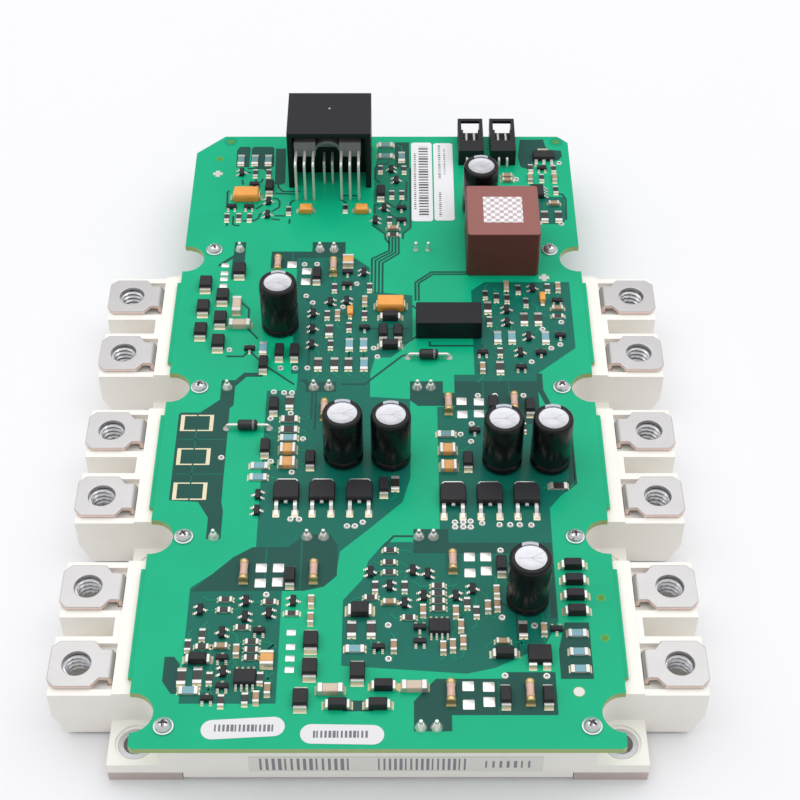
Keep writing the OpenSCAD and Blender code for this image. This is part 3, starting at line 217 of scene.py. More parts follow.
# Rows of plain stripes on the labels: axis across and its two limits, two limits along, pitch and inked share
LABEL_ROWS = [
    (0, 10.6, 13.4, 93, 125, 1.2, 0.7), (0, 9.2, 9.8, 96, 122, 0.9, 0.6), (0, 16.4, 17.1, 110, 126, 0.9, 0.6),
    (0, 18.0, 18.5, 112, 124, 0.9, 0.6), (0, 16.4, 17.1, 93, 104, 0.9, 0.6),
]
WALL_ROWS = [
    (2, 4.2, 9.0, -27, -6, 1.4, 0.6), (2, 4.2, 9.0, 0, 20, 1.2, 0.6), (2, 5.2, 8.0, 24, 35, 1.6, 0.5),
]
STICKER_ROWS = [(1, -79.9, -78.1, -36, -23, 0.9, 0.8), (1, -81.5, -79.7, -14.2, -2, 0.9, 0.8)]
# Middle and turn in degrees of each sticker
STICKERS = [(-29.7, -79, 3.5), (-7.8, -80.6, -1)]


# Frame readers

def merged_mesh(node):
    """Points and triangles of a CAD node, its loose corners merged on a grid of one micrometre."""
    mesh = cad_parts[node].data
    points = np.empty(len(mesh.vertices) * 3)
    mesh.vertices.foreach_get("co", points)
    corners = np.empty(len(mesh.loops), np.int32)
    mesh.loops.foreach_get("vertex_index", corners)
    grid = np.round(points.reshape(-1, 3) * 1e6).astype(np.int64)
    unique, inverse = np.unique(grid, axis=0, return_inverse=True)
    return unique * 1e-6, inverse.ravel()[corners].reshape(-1, 3)


def solid_boxes(node):
    """Boxes of a CAD node's separate solids, as an array of lowest and highest corners.

    Labels spread over shared corners until each solid has one, and each box spans one label's points.
    """
    points, triangles = merged_mesh(node)
    label = np.arange(len(points))
    settled = False
    while not settled:
        spread = label.copy()
        np.minimum.at(spread, triangles.ravel(), np.repeat(label[triangles].min(1), 3))
        spread = spread[spread]
        settled = bool((spread == label).all())
        label = spread
    group = np.unique(label, return_inverse=True)[1].ravel()
    boxes = np.empty((group.max() + 1, 2, 3))
    boxes[:, 0] = np.inf
    boxes[:, 1] = -np.inf
    np.minimum.at(boxes[:, 0], group, points)
    np.maximum.at(boxes[:, 1], group, points)
    return boxes


def facing(leads, bodies):
    """Plan direction of each lead box away from the nearest body box: along the side that it lies past."""
    centre = leads.mean(1)[:, :2]
    past = np.maximum(bodies[None, :, 0, :2] - centre[:, None], centre[:, None] - bodies[None, :, 1, :2])
    nearest = np.maximum(past, 0).sum(-1).argmin(1)
    rows = np.arange(len(leads))
    axis = past[rows, nearest].argmax(1)
    direction = np.zeros((len(leads), 2))
    direction[rows, axis] = np.sign(centre - bodies[nearest].mean(1)[:, :2])[rows, axis]
    return direction


def inside(points, outlines):
    """Which plan points lie in any of the outlines, by counting crossed edges."""
    found = np.zeros(len(points), bool)
    for outline in outlines:
        start = np.array(outline, float)
        end = np.roll(start, -1, 0)
        x, y = points[:, :1], points[:, 1:2]
        spans = (start[:, 1] > y) != (end[:, 1] > y)
        rise = np.where(end[:, 1] == start[:, 1], 1, end[:, 1] - start[:, 1])
        crossing = start[:, 0] + (y - start[:, 1]) * (end[:, 0] - start[:, 0]) / rise
        found |= (spans & (x < crossing)).sum(1) % 2 == 1
    return found


# Mesh makers

def build(name, points, faces, finishes, slot, stands_for=(), kinds=None, sharp=SHARP_ANGLE,
          local=None):
    """A piece from an array of points and a list of face arrays, each with its own number of corners.

    kinds gives the finish of each face array. local is an attribute of points: places from each part's own
    middle, or for the shaded steels and solder dots a weight of painted shade in its first number.
    """
    mesh = bpy.data.meshes.new(name)
    counts = np.concatenate([np.full(len(f), f.shape[1]) for f in faces])
    corners = np.concatenate([f.ravel() for f in faces])
    mesh.vertices.add(len(points))
    mesh.vertices.foreach_set("co", points.astype(np.float32).ravel())
    mesh.loops.add(len(corners))
    mesh.loops.foreach_set("vertex_index", corners.astype(np.int32))
    mesh.polygons.add(len(counts))
    mesh.polygons.foreach_set("loop_start", np.concatenate([[0], np.cumsum(counts)[:-1]]).astype(np.int32))
    for finish in finishes:
        mesh.materials.append(finish)
    if kinds is not None:
        chosen = np.concatenate([np.broadcast_to(k, len(f)) for k, f in zip(kinds, faces)])
        mesh.polygons.foreach_set("material_index", chosen.astype(np.int32))
    if local is not None:
        mesh.attributes.new("local", "FLOAT_VECTOR", "POINT").data.foreach_set("vector", local.ravel())
    mesh.update(calc_edges=True)
    outward_normals(mesh)
    place(mesh, slot, stands_for, sharp)


def outward_normals(mesh):
    """Turns the faces of a closed mesh outwards."""
    work = bmesh.new()
    work.from_mesh(mesh)
    bmesh.ops.recalc_face_normals(work, faces=work.faces)
    work.to_mesh(mesh)
    work.free()


def place(mesh, slot, stands_for, sharp):
    """Puts a mesh in the scene as a piece on the one body, smooth up to an angle in degrees."""
    mesh.polygons.foreach_set("use_smooth", np.ones(len(mesh.polygons), bool))
    mesh.set_sharp_from_angle(angle=math.radians(sharp))
    made = bpy.data.objects.new(mesh.name, mesh)
    bpy.context.scene.collection.objects.link(made)
    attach(made, "root")
    if stands_for:
        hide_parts(*stands_for)
    return made


def softened(name, node, edge, finish, slot):
    """A copy of a CAD node with merged points, flat faces joined and its sharp edges rounded by edge."""
    points, triangles = merged_mesh(node)
    mesh = bpy.data.meshes.new(name)
    mesh.from_pydata(points, [], triangles)
    work = bmesh.new()
    work.from_mesh(mesh)
    bmesh.ops.dissolve_limit(work, angle_limit=math.radians(FLAT_ANGLE), verts=work.verts, edges=work.edges)
    work.to_mesh(mesh)
    work.free()
    mesh.materials.append(finish)
    made = place(mesh, slot, [node], SHARP_ANGLE)
    bevel = made.modifiers.new("rounded_edges", "BEVEL")
    bevel.width = edge
    bevel.segments = EDGE_SEGMENTS
    bevel.limit_method = "ANGLE"
    bevel.angle_limit = math.radians(SHARP_ANGLE)
    bevel.harden_normals = True


def ring_faces(count, rings, around):
    """Faces of count stacks of rings with around points each: quads between rings, and two caps."""
    index = np.arange(count * rings * around).reshape(count, rings, around)
    onward = np.roll(index, -1, 2)
    quads = np.stack([index[:, :-1], onward[:, :-1], onward[:, 1:], index[:, 1:]], -1).reshape(-1, 4)
    return [quads, index[:, -1], index[:, 0, ::-1]]


def band_faces(count, rings, around):
    """Quads of count closed bands: rings with around points each, the last one joined to the first."""
    index = np.arange(count * rings * around).reshape(count, rings, around)
    beyond = np.roll(index, -1, 1)
    return np.stack([index, np.roll(index, -1, 2), np.roll(beyond, -1, 2), beyond], -1).reshape(-1, 4)


def moulded(boxes, rings, near_cut, far_cut=None):
    """Stacks of eight-cornered rings in boxes: a box's plan drawn in by each ring's inset, with cut corners.

    rings holds a share of the height and an inset in metres for each ring, from the lowest one up.
    """
    far_cut = near_cut if far_cut is None else far_cut
    share, inset = np.array(rings).T
    half = (boxes[:, 1] - boxes[:, 0])[:, None, :2] / 2 - inset[None, :, None]
    middle = boxes.mean(1)[:, None, None, :2]
    a, b = half[..., 0], half[..., 1]
    n, f = near_cut, far_cut
    x = np.stack([a - n, a, a, a - f, f - a, -a, -a, n - a], -1)
    y = np.stack([-b, n - b, b - f, b, b, b - f, n - b, -b], -1)
    plan = np.stack([x, y], -1) + middle
    z = boxes[:, None, 0, 2] + share * (boxes[:, None, 1, 2] - boxes[:, None, 0, 2])
    height = np.broadcast_to(z[:, :, None, None], plan.shape[:3] + (1,))
    return np.concatenate([plan, height], -1).reshape(-1, 3), ring_faces(len(boxes), len(rings), RING_CORNERS)


def strips(boxes, direction, profile):
    """Bent strips in boxes: a profile of shares of length and height, carried across each strip's width.

    The length runs from the box's inner face along direction.
    """
    size = boxes[:, 1] - boxes[:, 0]
    axis = np.abs(direction).argmax(1)
    rows = np.arange(len(boxes))
    length = size[rows, axis]
    width = size[rows, 1 - axis]
    across = direction[:, ::-1]
    start = boxes.mean(1)[:, :2] - direction * (length / 2)[:, None]
    u, v = np.array(profile).T
    along = start[:, None] + direction[:, None] * (length[:, None] * u)[..., None]
    sides = np.array([-0.5, 0.5])[None, :, None, None] * (width[:, None] * across)[:, None, None]
    plan = along[:, None] + sides
    z = boxes[:, 0, 2][:, None] + size[:, 2][:, None] * v
    height = np.broadcast_to(z[:, None, :, None], plan.shape[:3] + (1,))
    points = np.concatenate([plan, height], -1).reshape(-1, 3)
    return points, ring_faces(len(boxes), 2, len(profile))


def turned(centres, profile, around):
    """Solids of revolution on centres: rings of radius and height from a profile, closed by two flat caps."""
    radius, height = np.array(profile).T
    angle = np.arange(around) * 2 * math.pi / around
    circle = np.stack([np.cos(angle), np.sin(angle), np.zeros(around)], -1)
    shape = radius[:, None, None] * circle
    shape[..., 2] += height[:, None]
    centres = np.array(centres)
    points = centres[:, None, None] + shape[None]
    local = np.broadcast_to(shape[None], points.shape)
    return points.reshape(-1, 3), ring_faces(len(centres), len(profile), around), local.reshape(-1, 3)


def lying(boxes, rings, around):
    """Round bodies that lie along Y in boxes: rings of a share of the length and a share of the radius."""
    share, part = np.array(rings).T
    size = boxes[:, 1] - boxes[:, 0]
    middle = boxes.mean(1)
    angle = np.arange(around) * 2 * math.pi / around
    radius = size[:, 2][:, None] / 2 * part
    x = middle[:, 0, None, None] + radius[..., None] * np.cos(angle)
    z = middle[:, 2, None, None] + radius[..., None] * np.sin(angle)
    y = boxes[:, 0, 1][:, None] + share * size[:, 1][:, None]
    points = np.stack([x, np.broadcast_to(y[..., None], x.shape), z], -1)
    return points.reshape(-1, 3), ring_faces(len(boxes), len(rings), around)


def rod(path, side, radius, around):
    """A round rod along a flat path: circles across the path's tangent.

    side is the unit vector across the path's plane. The tangent is the central difference of the points.
    """
    path = np.array(path)
    tangent = np.gradient(path, axis=0)
    tangent /= np.linalg.norm(tangent, axis=1)[:, None]
    side = np.array(side, float)
    normal = np.cross(side, tangent)
    angle = np.arange(around) * 2 * math.pi / around
    circle = radius * (np.cos(angle)[:, None] * normal[:, None] + np.sin(angle)[:, None] * side)
    return (path[:, None] + circle).reshape(-1, 3), ring_faces(1, len(path), around)


def bent_path(start, corner, end, radius):
    """A path with one bend: straight, a quarter arc about the corner's inside, and straight again."""
    start, corner, end = (np.array(p, float) for p in (start, corner, end))
    into = (corner - start) / np.linalg.norm(corner - start)
    out = (end - corner) / np.linalg.norm(end - corner)
    middle = corner - radius * into + radius * out
    turn = np.linspace(0, math.pi / 2, BEND_POINTS)[:, None]
    arc = middle - radius * np.cos(turn) * out + radius * np.sin(turn) * into
    return np.concatenate([start[None], arc, end[None]])


def plates(outlines, low, high):
    """Flat plates with upright edges: each outline in millimetres, from one height to another."""
    points, faces, first = [], [], 0
    for outline in outlines:
        plan = np.array(outline, float) * MM
        count = len(plan)
        points += [np.column_stack([plan, np.full(count, z)]) for z in (low, high)]
        faces += [f + first for f in ring_faces(1, 2, count)]
        first += 2 * count
    return np.concatenate(points), faces


def ribbon(path, width):
    """Outline of a flat line: its points moved half a width to each side along their mean normals."""
    path = np.array(path, float)
    step = np.diff(path, axis=0)
    step /= np.linalg.norm(step, axis=1)[:, None]
    normal = np.stack([-step[:, 1], step[:, 0]], -1)
    before = np.concatenate([normal[:1], normal])
    after = np.concatenate([normal, normal[-1:]])
    mean = before + after
    mean /= (mean * before).sum(1)[:, None]
    return np.concatenate([path + mean * width / 2, (path - mean * width / 2)[::-1]])


def squares(centres, size, low, high):
    """Boxes of one size in millimetres on centres, from one height to another."""
    plan = np.array(centres, float) * MM
    half = np.array(size) * MM / 2
    corners = [np.column_stack([plan + s * half, np.full(len(plan), z)]) for s, z in ((-1, low), (1, high))]
    return np.stack(corners, 1)


def joined(parts):
    """One set of points and faces from several, with the face numbers moved on."""
    points, faces, first = [], [], 0
    for part_points, part_faces in parts:
        points.append(part_points)
        faces += [f + first for f in part_faces]
        first += len(part_points)
    return np.concatenate(points), faces


# Shader maths

class Wire:
    """An output socket. Arithmetic on it adds Math nodes to its finish."""

    def __init__(self, finish, socket):
        self.finish = finish
        self.socket = socket

    def maths(self, operation, *values):
        """The output of a new Math node with the values in its sockets."""
        return self.finish.node("ShaderNodeMath", {"operation": operation}, dict(enumerate(values)))

    def __add__(self, other):
        return self.maths("ADD", self, other)

    def __sub__(self, other):
        return self.maths("SUBTRACT", self, other)

    def __rsub__(self, other):
        return self.maths("SUBTRACT", other, self)

    def __mul__(self, other):
        return self.maths("MULTIPLY", self, other)

    def __truediv__(self, other):
        return self.maths("DIVIDE", self, other)

    def __mod__(self, other):
        return self.maths("FLOORED_MODULO", self, other)

    def __lt__(self, other):
        return self.maths("LESS_THAN", self, other)

    def __gt__(self, other):
        return self.maths("GREATER_THAN", self, other)

    def __abs__(self):
        return self.maths("ABSOLUTE", self)

    __radd__ = __add__
    __rmul__ = __mul__


class Finish:
    """A node material: one Principled shader, its constant sockets, and the nodes that feed it."""

    def __init__(self, name, **constants):
        self.material = bpy.data.materials.new(name)
        self.material.use_nodes = True
        self.tree = self.material.node_tree
        self.shader = self.tree.nodes["Principled BSDF"]
        self.feed(**constants)

    def feed(self, **sockets):
        """Sets or links the shader's sockets. An underscore in a name stands for a space."""
        for name, value in sockets.items():
            self.plug(self.shader.inputs[name.replace("_", " ")], value)

    def plug(self, socket, value):
        """Links a wire to a socket, or sets the socket's constant."""
        if isinstance(value, Wire):
            self.tree.links.new(value.socket, socket)
        elif socket.type == "RGBA" and len(value) == 3:
            socket.default_value = (*value, 1)
        else:
            socket.default_value = value

    def node(self, kind, settings=None, sockets=None, output=0):
        """Adds a node: its settings first, then its sockets. Gives one output."""
        made = self.tree.nodes.new(kind)
        for key, value in (settings or {}).items():
            setattr(made, key, value)
        for key, value in (sockets or {}).items():
            self.plug(made.inputs[key], value)
        return Wire(self, made.outputs[output])

    def mix(self, factor, one, other):
        """Colour one where factor is 0, and colour other where it is 1."""
        return self.node("ShaderNodeMix", {"data_type": "RGBA"}, {0: factor, 6: one, 7: other}, 2)

    def place(self):
        """Object coordinates in millimetres, as a vector."""
        coordinates = self.node("ShaderNodeTexCoord", output="Object")
        return self.node("ShaderNodeVectorMath", {"operation": "SCALE"}, {0: coordinates, "Scale": 1 / MM})

    def local(self):
        """The piece's own attribute, in millimetres: places from each part's middle, or a weight of painted
        shade.
        """
        own = self.node("ShaderNodeAttribute", {"attribute_name": "local"}, output="Vector")
        return self.node("ShaderNodeVectorMath", {"operation": "SCALE"}, {0: own, "Scale": 1 / MM})

    def parts(self, vector):
        """The three numbers of a vector."""
        first = self.node("ShaderNodeSeparateXYZ", None, {0: vector})
        outputs = first.socket.node.outputs
        return [Wire(self, outputs[k]) for k in range(3)]

    def noise(self, scale, detail=2.0, vector=None):
        """Noise from 0 to 1 with scale features in a millimetre."""
        return self.node("ShaderNodeTexNoise", None,
                         {"Vector": vector or self.place(), "Scale": scale, "Detail": detail})

    def stretched(self, scales, detail=2.0):
        """Noise with its own number of features in a millimetre along X, Y and Z."""
        vector = self.node("ShaderNodeVectorMath", {"operation": "MULTIPLY"}, {0: self.place(), 1: scales})
        return self.noise(1.0, detail, vector)

    def bump(self, height, strength, distance=0.1 * MM):
        """Feeds a bump of a height field to the shader's normal."""
        values = {"Strength": strength, "Distance": distance, "Height": height}
        self.feed(Normal=self.node("ShaderNodeBump", None, values))

    def upright(self):
        """One on faces that look up or down, and zero on the sides."""
        normal = self.node("ShaderNodeNewGeometry", output="Normal")
        return abs(self.parts(normal)[2]) > 0.6


def shade(colour, factor):
    """A colour made darker or lighter by a factor."""
    return tuple(min(1.0, c * factor) for c in colour)


def mottled(name, colour, roughness, spread=0.08, scale=0.5, grain=6.0, depth=0.15, **constants):
    """A moulded finish: slow colour drift, patchy roughness, and a fine grain in the normal."""
    finish = Finish(name, **constants)
    drift = finish.noise(scale, 3.0)
    finish.feed(Base_Color=finish.mix(drift, shade(colour, 1 - spread), shade(colour, 1 + spread)))
    finish.feed(Roughness=finish.noise(scale * 3, 2.0) * 0.16 + (roughness - 0.08))
    finish.bump(finish.noise(grain, 2.0), depth)
    return finish.material


def metal(name, colour, roughness, scales=(0.6, 8, 4), depth=0.12, metallic=1.0):
    """A drawn or plated metal: fine lines along one axis in its roughness and normal, and a slow tarnish."""
    finish = Finish(name, Metallic=metallic)
    lines = finish.stretched(scales, 3.0)
    finish.feed(Base_Color=finish.mix(finish.noise(0.4, 3.0), shade(colour, 0.9), shade(colour, 1.06)))
    finish.feed(Roughness=lines * 0.18 + (roughness - 0.09))
    finish.bump(lines, depth, 0.02 * MM)
    return finish.material


def two_tone(name, face, edge, roughness, metallic, bores=None):
    """A stamped strip: brushed plating on its faces, and bare metal where it was cut, parted by the normal.

    The cut faces stand upright. The bends, which look along X to the module's middle, are plated. bores is
    laid out as TERMINAL_HOLES, and inside its radius the plating also covers the sides.
    """
    finish = Finish(name, Metallic=metallic)
    x, y, _ = finish.parts(finish.place())
    normal = finish.parts(finish.node("ShaderNodeNewGeometry", output="Normal"))
    outward = normal[0] * ((x > 0) * 2 - 1)
    bend = (outward < -0.3) * (abs(normal[1]) < 0.3)
    plated = ((abs(normal[2]) > 0.55) + bend) > 0.5
    if bores:
        hole_x, pitch, half, radius = bores
        dx = abs(x) - hole_x
        dy = abs(((y + pitch / 2) % pitch) - pitch / 2) - half
        plated = (plated + (dx * dx + dy * dy < radius * radius)) > 0.5
    lines = finish.stretched((7, 0.7, 4), 3.0)
    plating = finish.mix(finish.noise(0.25, 3.0), shade(face, 0.94), shade(face, 1.05))
    cut = finish.mix(finish.noise(2.0, 2.0), shade(edge, 0.84), shade(edge, 1.12))
    finish.feed(Base_Color=finish.mix(plated, cut, plating))
    finish.feed(Roughness=lines * 0.14 + (roughness - 0.07))
    finish.bump(lines, 0.06, 0.02 * MM)
    return finish.material


def shaded_in_hollows(name, colour, dark, metallic):
    """Plated steel with painted shade in the piece's hollows: darker by the first number of its own
    attribute.
    """
    finish = Finish(name, Metallic=metallic)
    hollow_shade = finish.parts(finish.local())[0]
    # Painted shade: the colour darkens by the factor dark where the attribute is one
    finish.feed(Base_Color=finish.mix(hollow_shade, colour, shade(colour, dark)))
    finish.feed(Roughness=finish.noise(2.0) * 0.15 + 0.18)
    return finish.material


def mask(name, colour, side, roughness=0.3):
    """Solder mask over a board: glossy lacquer with slow drift and a faint weave, and laminate sides."""
    finish = Finish(name, Coat_Weight=0.04, Coat_Roughness=0.12, Specular_IOR_Level=0.16)
    x, y, _ = finish.parts(finish.place())
    cloth = 0.9
    weave = abs((x % cloth) - cloth / 2) + abs((y % cloth) - cloth / 2)
    drift = finish.noise(0.06, 3.0) * 0.8 + finish.noise(0.9, 2.0) * 0.2
    lacquer = finish.mix(drift, shade(colour, 0.86), shade(colour, 1.14))
    finish.feed(Base_Color=finish.mix(finish.upright(), side, lacquer))
    finish.feed(Roughness=finish.noise(1.5, 2.0) * 0.1 + (roughness - 0.05))
    finish.bump(weave + finish.noise(3.0, 2.0), 0.04, 0.05 * MM)
    return finish.material


def printed_paper(name, paper, ink, axis, marks):
    """Paper with plain stripes: marks is laid out as LABEL_ROWS, and axis is the way along."""
    finish = Finish(name)
    place = finish.parts(finish.place())
    along = place[axis]
    inked = None
    for across_axis, low, high, start, end, pitch, share in marks:
        across = place[across_axis]
        row = (across > low) * (across < high) * (along > start) * (along < end)
        slow = (along % (pitch * 5)) / (pitch * 5)
        bar = row * ((along % pitch) < (slow * 0.5 + 0.5) * (pitch * share))
        inked = bar if inked is None else inked + bar
    fibre = finish.noise(3.0, 3.0)
    sheet = finish.mix(fibre, shade(paper, 0.95), shade(paper, 1.03))
    finish.feed(Base_Color=finish.mix(inked, sheet, ink), Roughness=fibre * 0.2 + 0.45)
    finish.bump(fibre, 0.08)
    return finish.material


# Settings

def colour_setting(name, description, *display):
    """A colour property with a default in display values."""
    return bpy.props.FloatVectorProperty(
        name=name, description=description, subtype="COLOR", size=3, min=0, max=1, default=srgb(*display))


def length_setting(name, description, millimetres):
    """A length property with a default in millimetres, kept in metres."""
    return bpy.props.FloatProperty(
        name=name, description=description, subtype="DISTANCE", unit="LENGTH", min=0,
        default=millimetres * MM)


class ModuleColours(bpy.types.PropertyGroup):
    """Colours of the module's finishes."""

    housing: colour_setting("Housing", "Moulded housing", 248, 245, 239)
    pour: colour_setting("Pour", "Solder mask over copper", 12, 175, 129)
    teal: colour_setting("Teal", "Solder mask over thin copper", 15, 105, 90)
    laminate: colour_setting("Laminate", "Solder mask over bare laminate", 27, 80, 72)
    trace: colour_setting("Trace", "Thin copper lines under the mask", 12, 126, 98)
    board_edge: colour_setting("Board edge", "Cut edge of the laminate", 158, 178, 116)
    nickel: colour_setting("Nickel", "Plating of the terminals", 196, 194, 194)
    copper_edge: colour_setting("Copper edge", "Cut edges of the terminals", 230, 209, 202)
    base_edge: colour_setting("Base edge", "Cut edges of the base plate", 203, 189, 183)
    steel: colour_setting("Steel", "Screws, nuts and bushes", 230, 230, 234)
    tin: colour_setting("Tin", "Solder and tinned leads", 236, 234, 230)
    solder: colour_setting("Solder", "Flux-stained solder beside the small parts", 228, 218, 186)
    # The casing's top colour holds painted light, and its sides' colour painted shade
    potting: colour_setting("Potting", "Top of the transformer casing", 148, 92, 86)
    potting_shaded_side: colour_setting("Potting sides", "Sides of the transformer casing", 98, 52, 47)
    black: colour_setting("Black", "Sockets and coupler", 19, 20, 26)
    grey: colour_setting("Grey", "Lead guide in the main socket", 126, 124, 128)
    epoxy: colour_setting("Epoxy", "Bodies of the small black parts", 38, 38, 41)
    sleeve: colour_setting("Sleeve", "Capacitor sleeves", 14, 14, 17)
    stripe: colour_setting("Stripe", "Stripe on the capacitor sleeves", 190, 194, 205)
    aluminium: colour_setting("Aluminium", "Capacitor tops", 212, 212, 218)
    amber: colour_setting("Amber", "Tantalum capacitors", 242, 164, 70)
    glaze: colour_setting("Glaze", "Tops of the chip resistors", 44, 42, 41)
    blue_glaze: colour_setting("Blue glaze", "Tops of the blue chip resistors", 120, 168, 180)
    grey_glaze: colour_setting("Grey glaze", "Tops of the clear chip resistors", 104, 146, 146)
    ceramic: colour_setting("Ceramic", "Sides of the chip resistors", 190, 186, 176)
    small_capacitor: colour_setting("Small capacitor", "Small chip capacitors", 168, 140, 108)
    large_capacitor: colour_setting("Large capacitor", "Large chip capacitors", 226, 168, 100)
    long_capacitor: colour_setting("Long capacitor", "Long chip capacitors", 208, 190, 170)
    lacquer: colour_setting("Lacquer", "Cylinder resistors", 212, 172, 158)
    gold: colour_setting("Gold", "Caps of the cylinder resistors and bare marks", 212, 184, 132)
    paper: colour_setting("Paper", "Labels", 238, 238, 242)
    ink: colour_setting("Ink", "Plain stripes on the labels", 90, 90, 96)
    floor: colour_setting("Floor", "Floor under the module", 238, 238, 241)


class ModuleSizes(bpy.types.PropertyGroup):
    """Sizes of what the dressing adds to the solids."""

    housing_edge: length_setting("Housing edge", "Rounding of the housing's edges", 0.35)
    terminal_edge: length_setting("Terminal edge", "Rounding of the terminals' edges", 0.28)
    socket_edge: length_setting("Socket edge", "Rounding of the sockets' edges", 0.2)
    block_edge: length_setting("Block edge", "Rounding of the transformer and coupler", 0.35)
    small_edge: length_setting("Small edge", "Rounding of the small parts", 0.08)
    mask_step: length_setting("Mask step", "Height of each layer of the board's artwork", 0.02)
    fine_trace: length_setting("Fine trace", "Width of the short traces at the small parts", 0.45)
    dark_trace: length_setting("Dark trace", "Width of the lines left out of the pour", 0.55)
    fillet: length_setting("Fillet", "Reach of the solder past the contacts", 0.55)
    thread_pitch: length_setting("Thread pitch", "Pitch of the nuts' threads", 1.4)
    thread_depth: length_setting("Thread depth", "Depth of the nuts' threads", 0.8)


class ModuleStage(bpy.types.PropertyGroup):
    """Camera, light and floor of the plain studio."""

    camera_place: bpy.props.FloatVectorProperty(
        name="Camera place", description="Where the camera stands", subtype="TRANSLATION", unit="LENGTH",
        size=3, default=(0.00432, -0.29244, 0.34826))
    camera_pitch: bpy.props.FloatProperty(
        name="Camera pitch", description="Tilt of the camera up from straight down", subtype="ANGLE",
        default=math.radians(43.456))
    camera_yaw: bpy.props.FloatProperty(
        name="Camera yaw", description="Turn of the camera about the vertical", subtype="ANGLE",
        default=math.radians(-0.124))
    camera_roll: bpy.props.FloatProperty(
        name="Camera roll", description="Turn of the camera about its own axis", subtype="ANGLE",
        default=math.radians(0.092))
    lens: bpy.props.FloatProperty(
        name="Lens", description="Focal length on a 36 mm frame, in millimetres", default=79.06)
    sky: bpy.props.FloatProperty(
        name="Sky", description="Strength of the even light all round", default=0.58)
    lamp: bpy.props.FloatProperty(
        name="Lamp", description="Power of the soft lamp overhead", unit="POWER", default=16.6)
    lamp_size: bpy.props.FloatVectorProperty(
        name="Lamp size", description="Width and depth of the soft lamp", unit="LENGTH", size=2, min=0,
        default=(2.9, 1.7))
    lamp_place: bpy.props.FloatVectorProperty(
        name="Lamp place", description="Where the soft lamp hangs", subtype="TRANSLATION", unit="LENGTH",
        size=3, default=(0.02, 0.28, 1.1))
    lamp_tilt: bpy.props.FloatProperty(
        name="Lamp tilt", description="Tilt of the soft lamp about X", subtype="ANGLE",
        default=math.radians(-8))
    floor_half: bpy.props.FloatProperty(
        name="Floor half width", description="Half the width of the floor", subtype="DISTANCE", unit="LENGTH",
        min=0, default=3.0)


# Operators

def colours():
    """The scene's colour settings."""
    return bpy.context.scene.module_colours


def sizes():
    """The scene's size settings."""
    return bpy.context.scene.module_sizes


def cover(node, finish):
    """Gives a CAD node that keeps its shape a finish in its material slot."""
    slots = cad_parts[node].data.materials
    slots.clear()
    slots.append(finish)


# Profiles of bent leads, hooked contacts, end caps and solder, as shares of length and height
GULL = [(0, 1), (0.4, 1), (0.62, 0.3), (1, 0.3), (1, 0), (0.52, 0), (0.3, 0.72), (0, 0.72)]
HOOK = [(0, 1), (0.72, 1), (0.93, 0.9), (1, 0.72), (1, 0), (0, 0)]
CAP = [(0, 1), (0.82, 1), (1, 0.86), (1, 0), (0, 0)]
MENISCUS = [(0, 0.7), (0.18, 0.4), (0.48, 0.15), (1, 0.02), (1, 0), (0, 0)]


def beside(boxes, direction, reach):
    """Boxes that start at the outer face of each contact and reach out along its direction."""
    size = (boxes[:, 1] - boxes[:, 0])[:, :2]
    shift = np.abs(direction) * (size + reach) / 2
    middle = boxes.mean(1)[:, :2] + np.sign(direction) * shift
    half = np.where(direction != 0, reach, size) / 2
    moved = boxes.copy()
    moved[:, 0, :2] = middle - half
    moved[:, 1, :2] = middle + half
    return moved


def widened(boxes, direction, factor):
    """Boxes made wider across their direction by a factor, about their own middles."""
    middle = boxes.mean(1)[:, None]
    stretch = np.ones((len(boxes), 1, 3))
    stretch[:, 0, :2] = np.where(direction != 0, 1, factor)
    return middle + (boxes - middle) * stretch


class MODULE_OT_base(bpy.types.Operator):
    """Finishes the base plate, the bushes and what lies inside the housing."""

    bl_idname = "module.base"
    bl_label = "Base and inside"

    def execute(self, context):
        c = colours()
        cover("base_plate", two_tone("base_plating", c.nickel, c.base_edge, 0.45, 0.6))
        cover("mounting_bushes", metal("bush_steel", shade(c.steel, 0.7), 0.45))
        cover("substrates", mottled("fired_ceramic", c.ceramic, 0.6))
        silicon = metal("polished_silicon", srgb(90, 92, 104), 0.2)
        cover("igbt_chips", silicon)
        cover("diode_chips", silicon)
        return {"FINISHED"}


class MODULE_OT_housing(bpy.types.Operator):
    """Rounds the edges of the moulded housing and its lid."""

    bl_idname = "module.housing"
    bl_label = "Housing"

    def execute(self, context):
        plastic = mottled("housing_thermoset", colours().housing, 0.5, 0.02, 0.15, 4.0, 0.12,
                          Specular_IOR_Level=0.35)
        softened("moulded_housing", "housing_frame", sizes().housing_edge, plastic, "housing_plastic")
        cover("housing_lid", plastic)
        return {"FINISHED"}


